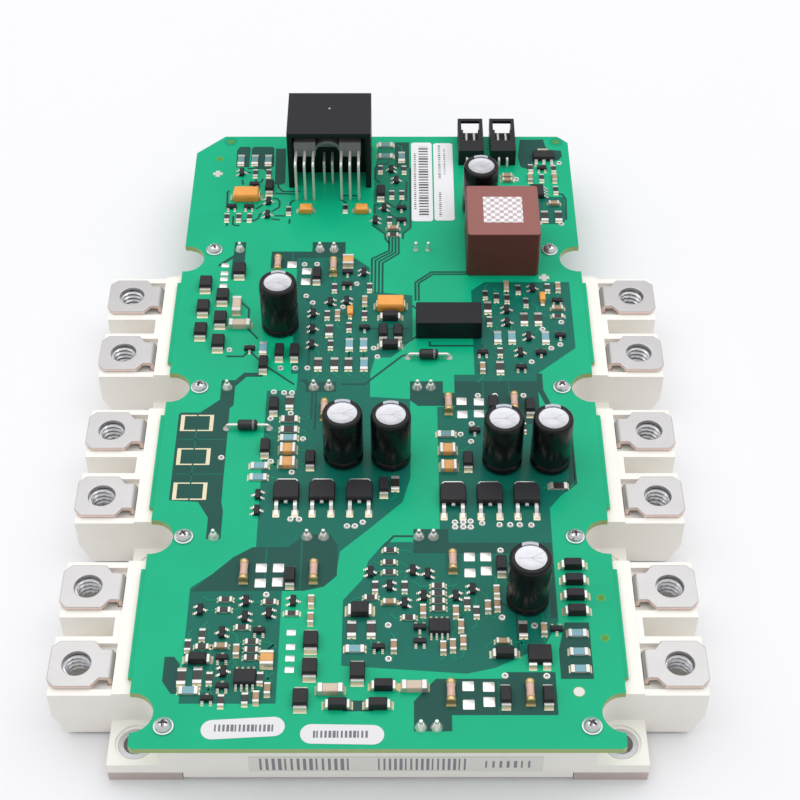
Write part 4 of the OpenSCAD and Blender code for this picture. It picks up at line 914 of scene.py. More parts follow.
class MODULE_OT_terminals(bpy.types.Operator):
    """Rounds the twelve plated terminals and threads the nuts under them."""

    bl_idname = "module.terminals"
    bl_label = "Terminals and nuts"

    def execute(self, context):
        c, s = colours(), sizes()
        plated = two_tone("nickel_over_copper", c.nickel, c.copper_edge, 0.36, 0.85, TERMINAL_HOLES)
        for number in range(1, 13):
            node = f"power_terminal_{number}"
            softened(f"terminal_strip_{number}", node, s.terminal_edge, plated, "terminal_metal")
        # Painted light and shade in the bores: the steel is brightened by 1.2, and the thread's grooves
        # darken to 0.2
        self.thread(shaded_in_hollows("thread_painted_light_and_shade", shade(c.steel, 1.2), 0.2, 0.6), s)
        return {"FINISHED"}

    def thread(self, finish, s):
        """Nuts as a closed band round each bore: a helical thread inside, six flats outside.

        The bore's radius rises and falls with the height over the pitch less the turn. The outer radius is
        the flats' distance over the cosine of the angle from the nearest flat's middle.
        """
        boxes = solid_boxes("terminal_nuts")
        low, high = boxes[0, 0, 2], boxes[0, 1, 2]
        flats = (boxes[0, 1, 0] - boxes[0, 0, 0]) / 2
        bore = 3.0 * MM
        around = 48
        angle = np.arange(around) * 2 * math.pi / around
        rows = 41
        height = np.linspace(low, high, rows)
        wave = np.abs(((height[:, None] / s.thread_pitch - angle / (2 * math.pi)) % 1) - 0.5) * 2
        inner = bore + s.thread_depth * (wave - 0.4)
        hexagon = flats / np.cos((angle + math.pi / 6) % (math.pi / 3) - math.pi / 6)
        rim = np.stack([np.full(around, flats * 0.95), hexagon, hexagon])
        radius = np.concatenate([inner, rim])
        # Painted shade: root marks the thread's grooves, which the finish darkens through the attribute
        root = np.concatenate([np.clip((wave - 0.45) / 0.3, 0, 1), np.zeros_like(rim)]) * MM
        levels = np.concatenate([height, [high, high - 0.5 * MM, low]])
        middle = boxes.mean(1)
        x = middle[:, 0, None, None] + radius * np.cos(angle)
        y = middle[:, 1, None, None] + radius * np.sin(angle)
        z = np.broadcast_to(levels[None, :, None], x.shape)
        points = np.stack([x, y, z], -1).reshape(-1, 3)
        local = np.zeros_like(points)
        local[:, 0] = np.broadcast_to(root, x.shape).ravel()
        quads = band_faces(len(boxes), len(levels), around)
        build("threaded_nuts", points, [quads], [finish], "nut_metal", ["terminal_nuts"], sharp=40,
              local=local)


class MODULE_OT_board(bpy.types.Operator):
    """Lacquers the board and lays its artwork over it: fields, lines, pads, solder dots and marks."""

    bl_idname = "module.board"
    bl_label = "Circuit board"

    def execute(self, context):
        c, step = colours(), sizes().mask_step
        cover("circuit_board", mask("pour_lacquer", c.pour, c.board_edge))
        level = [BOARD_TOP + k * step for k in range(6)]
        teal = mask("teal_lacquer", c.teal, c.teal)
        dark = mask("laminate_lacquer", c.laminate, c.laminate, 0.36)
        tin = metal("pad_solder", c.tin, 0.3, (2, 2, 2), 0.15, 0.7)
        bare = metal("bare_mark", shade(c.tin, 0.8), 0.4, metallic=0.4)
        build("teal_fields", *plates(TEAL_FIELDS, level[0], level[1]), [teal], "board_mask")
        middle = mask("middle_lacquer", c.trace, c.trace)
        build("middle_fields", *plates(MIDDLE_FIELDS, level[0], level[1]), [middle], "board_mask")
        build("laminate_fields", *plates(LAMINATE_FIELDS, level[0], level[2]), [dark], "board_mask")
        lines = [ribbon(path, sizes().dark_trace / MM) for path in DARK_TRACES]
        lines += [ribbon(path, 2.6 * sizes().dark_trace / MM) for path in WIDE_TRACES]
        build("pour_gaps", *plates(lines, level[0], level[3]), [dark], "board_mask")
        lines = [ribbon(path, 0.7 * sizes().dark_trace / MM) for path in TEAL_LINES]
        build("teal_lines", *plates(lines, level[0], level[4]), [teal], "board_mask")
        cut, tall = 0.12 * MM, 0.16 * MM
        dome = [(0, 0), (0.5, 0), (1, cut)]
        pads = np.concatenate([
            squares(WIDE_PADS, (2.6, 2.6), BOARD_TOP, BOARD_TOP + tall),
            squares(SMALL_PADS, (2.1, 1.6), BOARD_TOP, BOARD_TOP + tall),
        ])
        build("bare_pads", *moulded(pads, dome, cut), [tin], "tin")
        ring = [(0.85 * MM, 0), (0.85 * MM, 0.1 * MM), (0.66 * MM, 0.28 * MM), (0.45 * MM, 0.26 * MM),
                (0.3 * MM, 0.05 * MM)]
        dots = np.column_stack([np.array(SOLDER_DOTS) * MM, np.full(len(SOLDER_DOTS), BOARD_TOP)])
        points, faces, local = turned(dots, ring, 16)
        # Painted shade: the dip in each dot's middle is darkened through the attribute
        hollow_shade = np.zeros_like(local)
        hollow_shade[:, 0] = (np.hypot(local[:, 0], local[:, 1]) < 0.4 * MM) * MM
        build("solder_dots", points, faces, [shaded_in_hollows("dot_solder_painted_shade", c.tin, 0.35, 0.7)], "tin", local=hollow_shade)
        self.marks(bare, level)
        self.footprints(metal("footprint_tin", shade(c.solder, 0.9), 0.35, (2, 2, 2), 0.15, 0.6))
        return {"FINISHED"}

    def marks(self, bare, level):
        """Sighting marks: ringed olive dots, some in darker discs, bare crosses, and a bare dot."""
        def raised(centres):
            return np.column_stack([np.array(centres) * MM, np.full(len(centres), BOARD_TOP)])

        flat = level[4] - BOARD_TOP
        parts = []
        parts.append(turned(raised(ROUND_MARKS), [(1.25 * MM, 0), (1.25 * MM, flat)], 20)[:2])
        arm, half = 1.4, 0.6
        cross = np.array([
            (half, -arm), (half, -half), (arm, -half), (arm, half), (half, half), (half, arm),
            (-half, arm), (-half, half), (-arm, half), (-arm, -half), (-half, -half), (-half, -arm)])
        parts.append(plates([cross + place for place in CROSS_MARKS], BOARD_TOP, level[4]))
        points, faces = joined(parts)
        build("sighting_marks", points, faces, [bare], "tin")
        olive = mask("dot_lacquer", srgb(96, 146, 58), srgb(96, 146, 58))
        pale = mask("ring_lacquer", srgb(84, 174, 96), srgb(84, 174, 96))
        rim = mask("mark_lacquer", shade(colours().pour, 0.78), colours().pour)
        for name, finish, step, discs in (
                ("mark_dots", olive, level[3], ((RINGED_MARKS, 0.9), (OLIVE_MARKS, 0.75))),
                ("mark_rings", pale, level[2], ((ROUND_MARKS, 1.5), (OLIVE_MARKS, 1.1)))):
            parts = []
            for centres, radius in discs:
                sheet = [(radius * MM, 0), (radius * MM, step - BOARD_TOP)]
                parts.append(turned(raised(centres), sheet, 28)[:2])
            points, faces = joined(parts)
            build(name, points, faces, [finish], "board_mask")
        points, faces, _ = turned(raised(RINGED_MARKS), [(2.1 * MM, 0), (2.1 * MM, level[1] - BOARD_TOP)], 28)
        build("mark_fields", points, faces, [rim], "board_mask")

    def footprints(self, tin):
        """Two brackets of tin for each empty place: a closed bracket outline, mirrored about the gap."""
        bracket = np.array([(-4.2, -2.8), (-0.2, -2.8), (-0.2, -2.4), (-3.2, -2.4), (-3.2, 2.4), (-0.2, 2.4),
                            (-0.2, 2.8), (-4.2, 2.8)])
        places = np.array(EMPTY_FOOTPRINTS)
        outlines = [place + side * bracket for place in places for side in ((1, 1), (-1, 1))]
        build("empty_footprints", *plates(outlines, BOARD_TOP, BOARD_TOP + 0.12 * MM), [tin], "tin")


class MODULE_OT_screws(bpy.types.Operator):
    """Rounds the board screws, and turns the gate pins with their solder."""

    bl_idname = "module.screws"
    bl_label = "Board screws and gate pins"

    def execute(self, context):
        c = colours()
        self.heads(shaded_in_hollows("screw_steel_painted_shade", c.steel, 0.32, 0.85))
        tin = metal("pin_tin", shade(c.tin, 1.05), 0.2, (3, 3, 3), 0.25, 0.7)
        boxes = solid_boxes("gate_pins")
        feet = np.column_stack([boxes.mean(1)[:, :2], boxes[:, 0, 2]])
        tall = boxes[0, 1, 2] - boxes[0, 0, 2]
        half = (boxes[0, 1, 0] - boxes[0, 0, 0]) / 2
        pin = [(half * 0.6, 0), (half, 0.3 * MM), (half, tall - 0.35 * MM), (half * 0.75, tall - 0.1 * MM),
               (half * 0.3, tall)]
        points, faces, _ = turned(feet, pin, 16)
        build("round_gate_pins", points, faces, [tin], "tin", ["gate_pins"])
        boxes = solid_boxes("pin_solder")
        reach = (boxes[0, 1, 0] - boxes[0, 0, 0]) / 2
        tall = boxes[0, 1, 2] - boxes[0, 0, 2]
        cone = np.array([
            (reach, 0), (0.98 * reach, 0.1 * tall), (0.84 * reach, 0.32 * tall), (0.7 * reach, 0.58 * tall),
            (0.58 * reach, 0.84 * tall), (half + 0.06 * MM, 0.98 * tall), (half - 0.02 * MM, tall)])
        feet = np.column_stack([boxes.mean(1)[:, :2], boxes[:, 0, 2]])
        far_row = 70 * MM
        lean = (feet[:, 0] > 0) & (feet[:, 1] > far_row)
        thin = np.column_stack([np.maximum(0.6 * cone[:, 0], half - 0.02 * MM), 0.5 * cone[:, 1]])
        points, faces = joined([turned(feet[~lean], cone, 20)[:2], turned(feet[lean], thin, 20)[:2]])
        build("pin_solder_cones", points, faces, [tin], "tin", ["pin_solder"], sharp=60)
        return {"FINISHED"}

    def heads(self, finish):
        """Domed heads on a flange: rings that close in over a dome, with a cross cut out of the height.

        The recess is deep where the smaller of the two distances from the arms' axes is under an arm's half
        width and the larger one is under its length. Each head has its own turn.
        """
        boxes = solid_boxes("board_screws")
        head = boxes[:, 1, 2] - BOARD_TOP
        reach = (boxes[:, 1, 0] - boxes[:, 0, 0]) / 2
        dome = np.linspace(0.97, 0.03, 20)
        share = np.concatenate([[0.94, 1, 1, 0.96, 0.84, 0.82], 0.82 * dome])
        rise = np.concatenate([[0, 0.04, 0.16, 0.2, 0.2, 0.3], 1 - 0.62 * dome ** 2.4])
        around = 64
        angle = np.arange(around) * 2 * math.pi / around
        turn_step = 37.0
        turn = np.radians(turn_step * np.arange(len(boxes)))[:, None, None]
        radius = reach[:, None, None] * share[None, :, None]
        arms = np.stack([np.abs(radius * np.cos(angle - turn)), np.abs(radius * np.sin(angle - turn))])
        half_width, half_length = 0.32 * MM, 1.05 * MM
        flank, end = 0.14 * MM, 0.3 * MM
        narrow = np.clip((half_width - arms.min(0)) / flank, 0, 1)
        short = np.clip((half_length - arms.max(0)) / end, 0, 1)
        recess = narrow * short * (rise > 0.35)[None, :, None]
        z = BOARD_TOP + head[:, None, None] * (rise[None, :, None] - 0.5 * recess)
        middle = boxes.mean(1)
        x = middle[:, 0, None, None] + radius * np.cos(angle)
        y = middle[:, 1, None, None] + radius * np.sin(angle)
        points = np.stack([x, y, z], -1).reshape(-1, 3)
        # Painted shade: the cross recess and the crease where the dome meets the flange are darkened through
        # the attribute
        local = np.zeros_like(points)
        crease_shade = (share < 0.9) & (rise < 0.25)
        local[:, 0] = np.maximum(recess, 0.7 * crease_shade[None, :, None]).ravel() * MM
        faces = ring_faces(len(boxes), len(share), around)
        build("cross_head_screws", points, faces, [finish], "screw_metal", ["board_screws"], sharp=50,
              local=local)


class MODULE_OT_blocks(bpy.types.Operator):
    """Rounds the transformer and the coupler, and finishes their pins."""

    bl_idname = "module.blocks"
    bl_label = "Transformer and coupler"

    def execute(self, context):
        c, edge = colours(), sizes().block_edge
        softened("transformer_casing", "transformer_block", edge, self.potting(c), "transformer_plastic")
        coupler = mottled("coupler_moulding", c.black, 0.4, Specular_IOR_Level=0.3)
        softened("coupler_casing", "coupler_block", edge, coupler, "black_plastic")
        tin = metal("block_pin_tin", c.tin, 0.3, metallic=0.7)
        cover("transformer_pins", tin)
        cover("coupler_pins", tin)
        self.patch(c)
        return {"FINISHED"}

    def potting(self, c):
        """Resin with a paler top as painted light and darker sides as painted shade, parted by the normal."""
        finish = Finish("potting_resin", Specular_IOR_Level=0.4)
        drift = finish.noise(0.3, 3.0)
        top = finish.mix(drift, shade(c.potting, 0.92), shade(c.potting, 1.08))
        side = finish.mix(drift, shade(c.potting_shaded_side, 0.85), shade(c.potting_shaded_side, 1.15))
        # Painted light on the top and painted shade on the sides, chosen by the normal
        finish.feed(Base_Color=finish.mix(finish.upright(), side, top), Roughness=drift * 0.2 + 0.35)
        finish.bump(finish.noise(3.0), 0.15)
        return finish.material

    def patch(self, c):
        """A plain printed square on the transformer, with an even grid of squares left out of it."""
        low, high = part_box("transformer_block")
        middle = ((low.x + high.x) / 2 / MM, (low.y + high.y) / 2 / MM)
        half = 5.4
        corners = ((-1, -1), (1, -1), (1, 1), (-1, 1))
        outline = [(middle[0] + x * half, middle[1] + y * half) for x, y in corners]
        finish = Finish("patch_print", Roughness=0.5)
        x, y, _ = finish.parts(finish.place())
        pitch = 2.4
        checks = abs(((x % pitch) < pitch / 2) - ((y % pitch) < pitch / 2))
        finish.feed(Base_Color=finish.mix(checks * (finish.noise(1.0) * 0.5 + 0.3), c.paper, c.potting))
        sheet = plates([outline], high.z, high.z + 0.04 * MM)
        build("printed_patch", *sheet, [finish.material], "label_paper")


class MODULE_OT_sockets(bpy.types.Operator):
    """Rounds the main socket and the latch headers, and bends their leads."""

    bl_idname = "module.sockets"
    bl_label = "Sockets"

    def execute(self, context):
        c, edge = colours(), sizes().socket_edge
        black = mottled("header_moulding", c.black, 0.42, 0.12, 0.4, 5.0, 0.2, Specular_IOR_Level=0.35)
        grey = mottled("guide_moulding", c.grey, 0.35)
        tin = metal("lead_tin", c.tin, 0.3, (3, 3, 0.6), 0.1, 0.5)
        softened("socket_body", "main_socket_shell", edge, self.shell(c), "black_plastic")
        softened("lead_guide", "main_socket_insert", edge, grey, "grey_plastic")
        for number in (1, 2):
            softened(f"header_body_{number}", f"latch_header_{number}", edge, black, "black_plastic")
        self.leads("main_socket_pins", "socket_leads", tin)
        self.leads("latch_header_pins", "header_leads", tin)
        return {"FINISHED"}

    def shell(self, c):
        """Black plastic with painted shade inside the shell, a gate mark and three parting lines on its top.
        """
        low, high = (np.array(corner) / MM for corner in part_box("main_socket_shell"))
        half, length = (high[0] - low[0]) / 2, high[1] - low[1]
        wall, line, gate = 0.9, 0.09, 0.3
        finish = Finish("socket_moulding", Specular_IOR_Level=0.35)
        x, y, z = finish.parts(finish.place())
        x = x - (low[0] + half)
        inside = (abs(x) < half - wall) * (z < high[2] - wall)
        top = z > high[2] - 0.1
        dy = y - (high[1] - 0.38 * length)
        mark = (x * x + dy * dy < gate * gate) * top
        lines = ((abs(abs(x) - (half - 1.5)) < line) + (abs(y - (high[1] - 0.52 * length)) < line)) * top
        drift = finish.mix(finish.noise(0.4, 3.0), shade(c.black, 0.88), shade(c.black, 1.12))
        # Painted shade: inside the walls the black darkens to 0.3
        body = finish.mix(inside, drift, shade(c.black, 0.3))
        body = finish.mix(lines > 0.5, body, shade(c.black, 1.7))
        finish.feed(Base_Color=finish.mix(mark, body, srgb(190, 190, 192)))
        finish.feed(Roughness=finish.noise(1.2, 2.0) * 0.16 + 0.34)
        finish.bump(finish.noise(5.0, 2.0), 0.2)
        return finish.material

    def leads(self, node, name, tin):
        """Rods that rise from the board and bend level towards +Y: one path in the YZ plane for each box."""
        parts = []
        for low, high in solid_boxes(node):
            radius = (high[0] - low[0]) / 2
            x = (low[0] + high[0]) / 2
            path = bent_path((x, low[1] + radius, low[2]), (x, low[1] + radius, high[2] - radius),
                             (x, high[1], high[2] - radius), 2.2 * radius)
            parts.append(rod(path, (1, 0, 0), radius, LEAD_SIDES))
        points, faces = joined(parts)
        build(name, points, faces, [tin], "tin", [node])


class MODULE_OT_capacitors(bpy.types.Operator):
    """Turns the seven capacitors: scored aluminium tops in shrunk sleeves with a rounded rim."""

    bl_idname = "module.capacitors"
    bl_label = "Capacitors"

    def execute(self, context):
        c = colours()
        cans = np.array([[list(p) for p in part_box(f"capacitor_can_{n}")] for n in range(1, 8)])
        sleeves = solid_boxes("capacitor_sleeves")
        nodes = [f"capacitor_can_{n}" for n in range(1, 8)]
        tall = cans[0, 1, 2] - cans[0, 0, 2]
        half = (cans[0, 1, 0] - cans[0, 0, 0]) / 2
        feet = np.column_stack([cans.mean(1)[:, :2], cans[:, 0, 2]])
        around = 40
        bead = half - 0.5 * MM
        top = tall - 0.15 * MM
        can = [(half - 0.6 * MM, 0), (half, 0.5 * MM), (half, 1.6 * MM), (bead, 2.2 * MM), (half, 2.8 * MM),
               (half, tall - 0.9 * MM), (half - 0.3 * MM, tall - 0.25 * MM), (half - 0.9 * MM, tall),
               (half - 1.4 * MM, top), (half * 0.35, top), (half * 0.05, top)]
        points, faces, local = turned(feet, can, around)
        build("scored_cans", points, faces, [self.aluminium(c)], "can_metal", nodes, sharp=50, local=local)
        tall = sleeves[0, 1, 2] - sleeves[0, 0, 2]
        half = (sleeves[0, 1, 0] - sleeves[0, 0, 0]) / 2
        wall = 0.2 * MM
        waist = half - 0.45 * MM
        hole = half - 1.3 * MM
        outer = [
            (half - 0.7 * MM, 0.1 * MM), (half, 0.6 * MM), (half, 1.6 * MM), (waist, 2.2 * MM),
            (half, 2.9 * MM), (half, tall - 1.0 * MM), (half - 0.12 * MM, tall - 0.5 * MM),
            (half - 0.5 * MM, tall - 0.1 * MM), (hole + 0.3 * MM, tall), (hole, tall - 0.06 * MM),
            (hole, tall - 0.2 * MM)]
        inner = [
            (hole + 0.5 * MM, tall - wall), (half - 0.4 * MM, tall - 0.8 * MM),
            (half - wall, tall - 1.4 * MM), (half - wall, 3.0 * MM), (waist - wall, 2.2 * MM),
            (half - wall, 1.6 * MM), (half - wall, 0.7 * MM), (half - 0.8 * MM, 0.3 * MM)]
        profile = outer + inner
        points, _, local = turned(feet, profile, around)
        quads = band_faces(len(feet), len(profile), around)
        build("shrunk_sleeves", points, [quads], [self.sleeve(c)], "sleeve_plastic", ["capacitor_sleeves"],
              sharp=60, local=local)
        cover("capacitor_leads", metal("can_lead_tin", c.tin, 0.3))
        return {"FINISHED"}

    def aluminium(self, c):
        """Drawn aluminium with three score lines that meet at the middle of the top."""
        finish = Finish("scored_aluminium", Metallic=1.0)
        x, y, _ = finish.parts(finish.local())
        half_line, reach = 0.12, 2.8
        across = (abs(y) < half_line) * (x < 2.6)
        slant = (abs(x * 0.5 + abs(y) * -0.87) < half_line) * (x > 0.0)
        score = (across + slant) * (abs(x) < reach) * (abs(y) < reach)
        blotch = finish.noise(0.9, 4.0)
        skin = finish.mix(blotch, shade(c.aluminium, 0.82), shade(c.aluminium, 1.08))
        # Painted shade: the score lines are darkened to 0.6, besides being pressed in by the bump
        finish.feed(Base_Color=finish.mix(score * 0.5, skin, shade(c.aluminium, 0.6)))
        finish.feed(Roughness=blotch * 0.2 + 0.3)
        finish.bump(blotch * 0.3 - score, 0.35, 0.12 * MM)
        return finish.material

    def sleeve(self, c):
        """Shrunk film: near black, glossy, with lengthwise wrinkles and a pale stripe at its far side."""
        finish = Finish("shrunk_film", Specular_IOR_Level=0.3)
        x, y, z = finish.parts(finish.local())
        stripe = (abs(x) < 1.9) * (y > 0.0) * (z > 3.4)
        gap = (abs(x) < 0.5) * ((z % 3.4) < 1.4)
        film = finish.mix(finish.noise(0.25, 2.0), shade(c.sleeve, 0.7), shade(c.sleeve, 1.4))
        finish.feed(Base_Color=finish.mix(stripe * (1 - gap), film, c.stripe))
        finish.feed(Roughness=finish.noise(0.3, 2.0) * 0.1 + 0.22)
        finish.bump(finish.stretched((1.5, 1.5, 0.1), 1.0), 0.03, 0.05 * MM)
        return finish.material


class MODULE_OT_tantalums(bpy.types.Operator):
    """Moulds the tantalum capacitors with drawn-in tops, and hooks their contacts."""

    bl_idname = "module.tantalums"
    bl_label = "Tantalum capacitors"

    def execute(self, context):
        c = colours()
        bodies = solid_boxes("tantalum_bodies")
        rings = [(0.04, 0.12 * MM), (0.5, 0), (0.9, 0.1 * MM), (1, 0.3 * MM)]
        amber = mottled("amber_moulding", c.amber, 0.4, 0.08, 0.4, 5.0, 0.2, Coat_Weight=0.15)
        build("amber_capacitors", *moulded(bodies, rings, 0.15 * MM), [amber], "tantalum_plastic",
              ["tantalum_bodies"])
        tin = metal("tantalum_tin", c.solder, 0.3, (2, 2, 2), 0.2, 0.6)
        contacts = solid_boxes("tantalum_contacts")
        direction = facing(contacts, bodies)
        feet = strips(beside(contacts, direction, 0.7 * MM), direction, MENISCUS)
        points, faces = joined([strips(contacts, direction, HOOK), feet])
        build("amber_capacitor_contacts", points, faces, [tin], "tin", ["tantalum_contacts"])
        return {"FINISHED"}


class MODULE_OT_axial_diodes(bpy.types.Operator):
    """Turns the two axial diodes with a pale band, and bends their leads."""

    bl_idname = "module.axial_diodes"
    bl_label = "Axial diodes"

    def execute(self, context):
        c = colours()
        boxes = solid_boxes("axial_diode_bodies")
        swapped = boxes[:, :, [1, 0, 2]]
        rings = [(0, 0.55), (0.03, 0.86), (0.08, 1), (0.92, 1), (0.97, 0.86), (1, 0.55)]
        points, faces = lying(swapped, rings, 24)
        finish = Finish("diode_epoxy", Roughness=0.4)
        x, _, _ = finish.parts(finish.place())
        ends = boxes[:, 1, 0] / MM
        bands = [(x > end - 1.3) * (x < end - 0.8) for end in ends]
        body = finish.mix(finish.noise(1.5), shade(c.epoxy, 0.6), shade(c.epoxy, 1.0))
        finish.feed(Base_Color=finish.mix(bands[0] + bands[1], body, shade(c.stripe, 0.35)))
        finish.bump(finish.noise(5.0), 0.15)
        build("banded_diodes", points[:, [1, 0, 2]], faces, [finish.material], "epoxy_black",
              ["axial_diode_bodies"])
        tin = metal("diode_lead_tin", c.tin, 0.28, (0.6, 4, 4), 0.1, 0.6)
        parts = []
        leads = solid_boxes("axial_diode_leads")
        side = facing(leads, boxes)[:, 0]
        for (low, high), s in zip(leads, side):
            radius = (high[1] - low[1]) / 2
            y = (low[1] + high[1]) / 2
            foot = high[0] - radius if s > 0 else low[0] + radius
            root = low[0] if s > 0 else high[0]
            level = high[2] - radius
            path = bent_path((foot, y, low[2]), (foot, y, level), (root, y, level), 2 * radius)
            parts.append(rod(path, (0, 1, 0), radius, LEAD_SIDES))
            cone = [(0.95 * MM, 0), (0.9 * MM, 0.12 * MM), (0.6 * MM, 0.4 * MM), (radius, 0.8 * MM)]
            parts.append(turned([(foot, y, BOARD_TOP)], cone, 14)[:2])
        points, faces = joined(parts)
        build("diode_leads", points, faces, [tin], "tin", ["axial_diode_leads"])
        return {"FINISHED"}


class MODULE_OT_power_transistors(bpy.types.Operator):
    """Moulds the power transistors with cut far corners, and bends their leads."""

    bl_idname = "module.power_transistors"
    bl_label = "Power transistors"

    def execute(self, context):
        c = colours()
        bodies = solid_boxes("power_transistor_bodies")
        rings = [(0, 0.1 * MM), (0.45, 0), (0.94, 0.2 * MM), (1, 0.3 * MM)]
        epoxy = mottled("power_epoxy", c.epoxy, 0.5, 0.12, 0.4, 6.0, 0.25, Specular_IOR_Level=0.3)
        near_cut, far_cut = 0.12 * MM, 0.9 * MM
        build("power_transistor_mouldings", *moulded(bodies, rings, near_cut, far_cut), [epoxy],
              "epoxy_black", ["power_transistor_bodies"])
        tin = metal("power_tin", c.tin, 0.3, (3, 0.6, 3), 0.15, 0.6)
        boxes = solid_boxes("power_transistor_tabs")
        lead_limit = 3 * MM
        wide = (boxes[:, 1, 0] - boxes[:, 0, 0]) > lead_limit
        tabs, leads = boxes[wide], boxes[~wide]
        near = np.tile([0.0, -1.0], (len(leads), 1))
        root = np.column_stack([bodies.mean(1)[:, 0], bodies[:, 0, 1:]])
        stub_low = np.array([-0.45, -0.7, 0.3]) * MM
        stub_high = np.array([0.45, 0.1, 0.75]) * MM
        stubs = np.stack([root + stub_low, root + stub_high], 1)
        fillets = beside(leads, near, 0.4 * MM)
        fillets[:, 1, 2] = fillets[:, 0, 2] + 0.5 * MM
        flat = [(0, 0), (0.7, 0), (1, 0.08 * MM)]
        pads = leads.copy()
        pads[:, 0] -= (0.4 * MM, 0.6 * MM, 0)
        pads[:, 1, 0] += 0.4 * MM
        pads[:, 1, 1] = pads[:, 0, 1] + 2.4 * MM
        pads[:, 1, 2] = pads[:, 0, 2] + 0.2 * MM
        points, faces = joined([
            moulded(tabs, flat, 0.5 * MM), strips(leads, near, GULL), strips(fillets, near, MENISCUS),
            moulded(stubs, flat, 0.06 * MM),
        ])
        build("power_transistor_leads", points, faces, [tin], "tin", ["power_transistor_tabs"])
        stained = metal("power_solder", c.solder, 0.32, (2, 2, 2), 0.2, 0.5)
        build("power_transistor_pads", *moulded(pads, flat, 0.15 * MM), [stained], "tin")
        return {"FINISHED"}


class MODULE_OT_black_parts(bpy.types.Operator):
    """Moulds the rectifiers, small transistors and chips with draft, and bends their leads."""

    bl_idname = "module.black_parts"
    bl_label = "Rectifiers, transistors and chips"

    def execute(self, context):
        c = colours()
        epoxy = mottled("small_epoxy", c.epoxy, 0.5, 0.15, 0.6, 7.0, 0.25, Specular_IOR_Level=0.3)
        tin = metal("small_tin", c.tin, 0.3, (3, 3, 3), 0.15, 0.6)
        stained = metal("stained_solder", c.solder, 0.32, (2, 2, 2), 0.2, 0.5)
        # Name, nodes of the bodies and leads, the leads' profile, the solder's reach, the draft, and how
        # much wider the leads are
        groups = (
            ("rectifier", "rectifier_bodies", "rectifier_contacts", HOOK, 0.7, 0.22, 1.0),
            ("transistor", "transistor_bodies", "transistor_leads", GULL, 0.35, 0.12, 1.3),
            ("chip", "ic_bodies", "ic_leads", GULL, 0.4, 0.2, 1.0),
        )
        for name, body_node, lead_node, profile, reach, draft, spread in groups:
            bodies = solid_boxes(body_node)
            leads = solid_boxes(lead_node)
            direction = facing(leads, bodies)
            leads = widened(leads, direction, spread)
            rings = [(0, draft * 0.5 * MM), (0.45, 0), (0.93, draft * 0.75 * MM), (1, draft * 1.2 * MM)]
            build(f"{name}_mouldings", *moulded(bodies, rings, 0.06 * MM), [epoxy], "epoxy_black",
                  [body_node])
            build(f"{name}_bent_leads", *strips(leads, direction, profile), [tin], "tin", [lead_node])
            fillets = beside(leads, direction, reach * MM)
            build(f"{name}_solder", *strips(fillets, direction, MENISCUS), [stained], "tin")
        return {"FINISHED"}


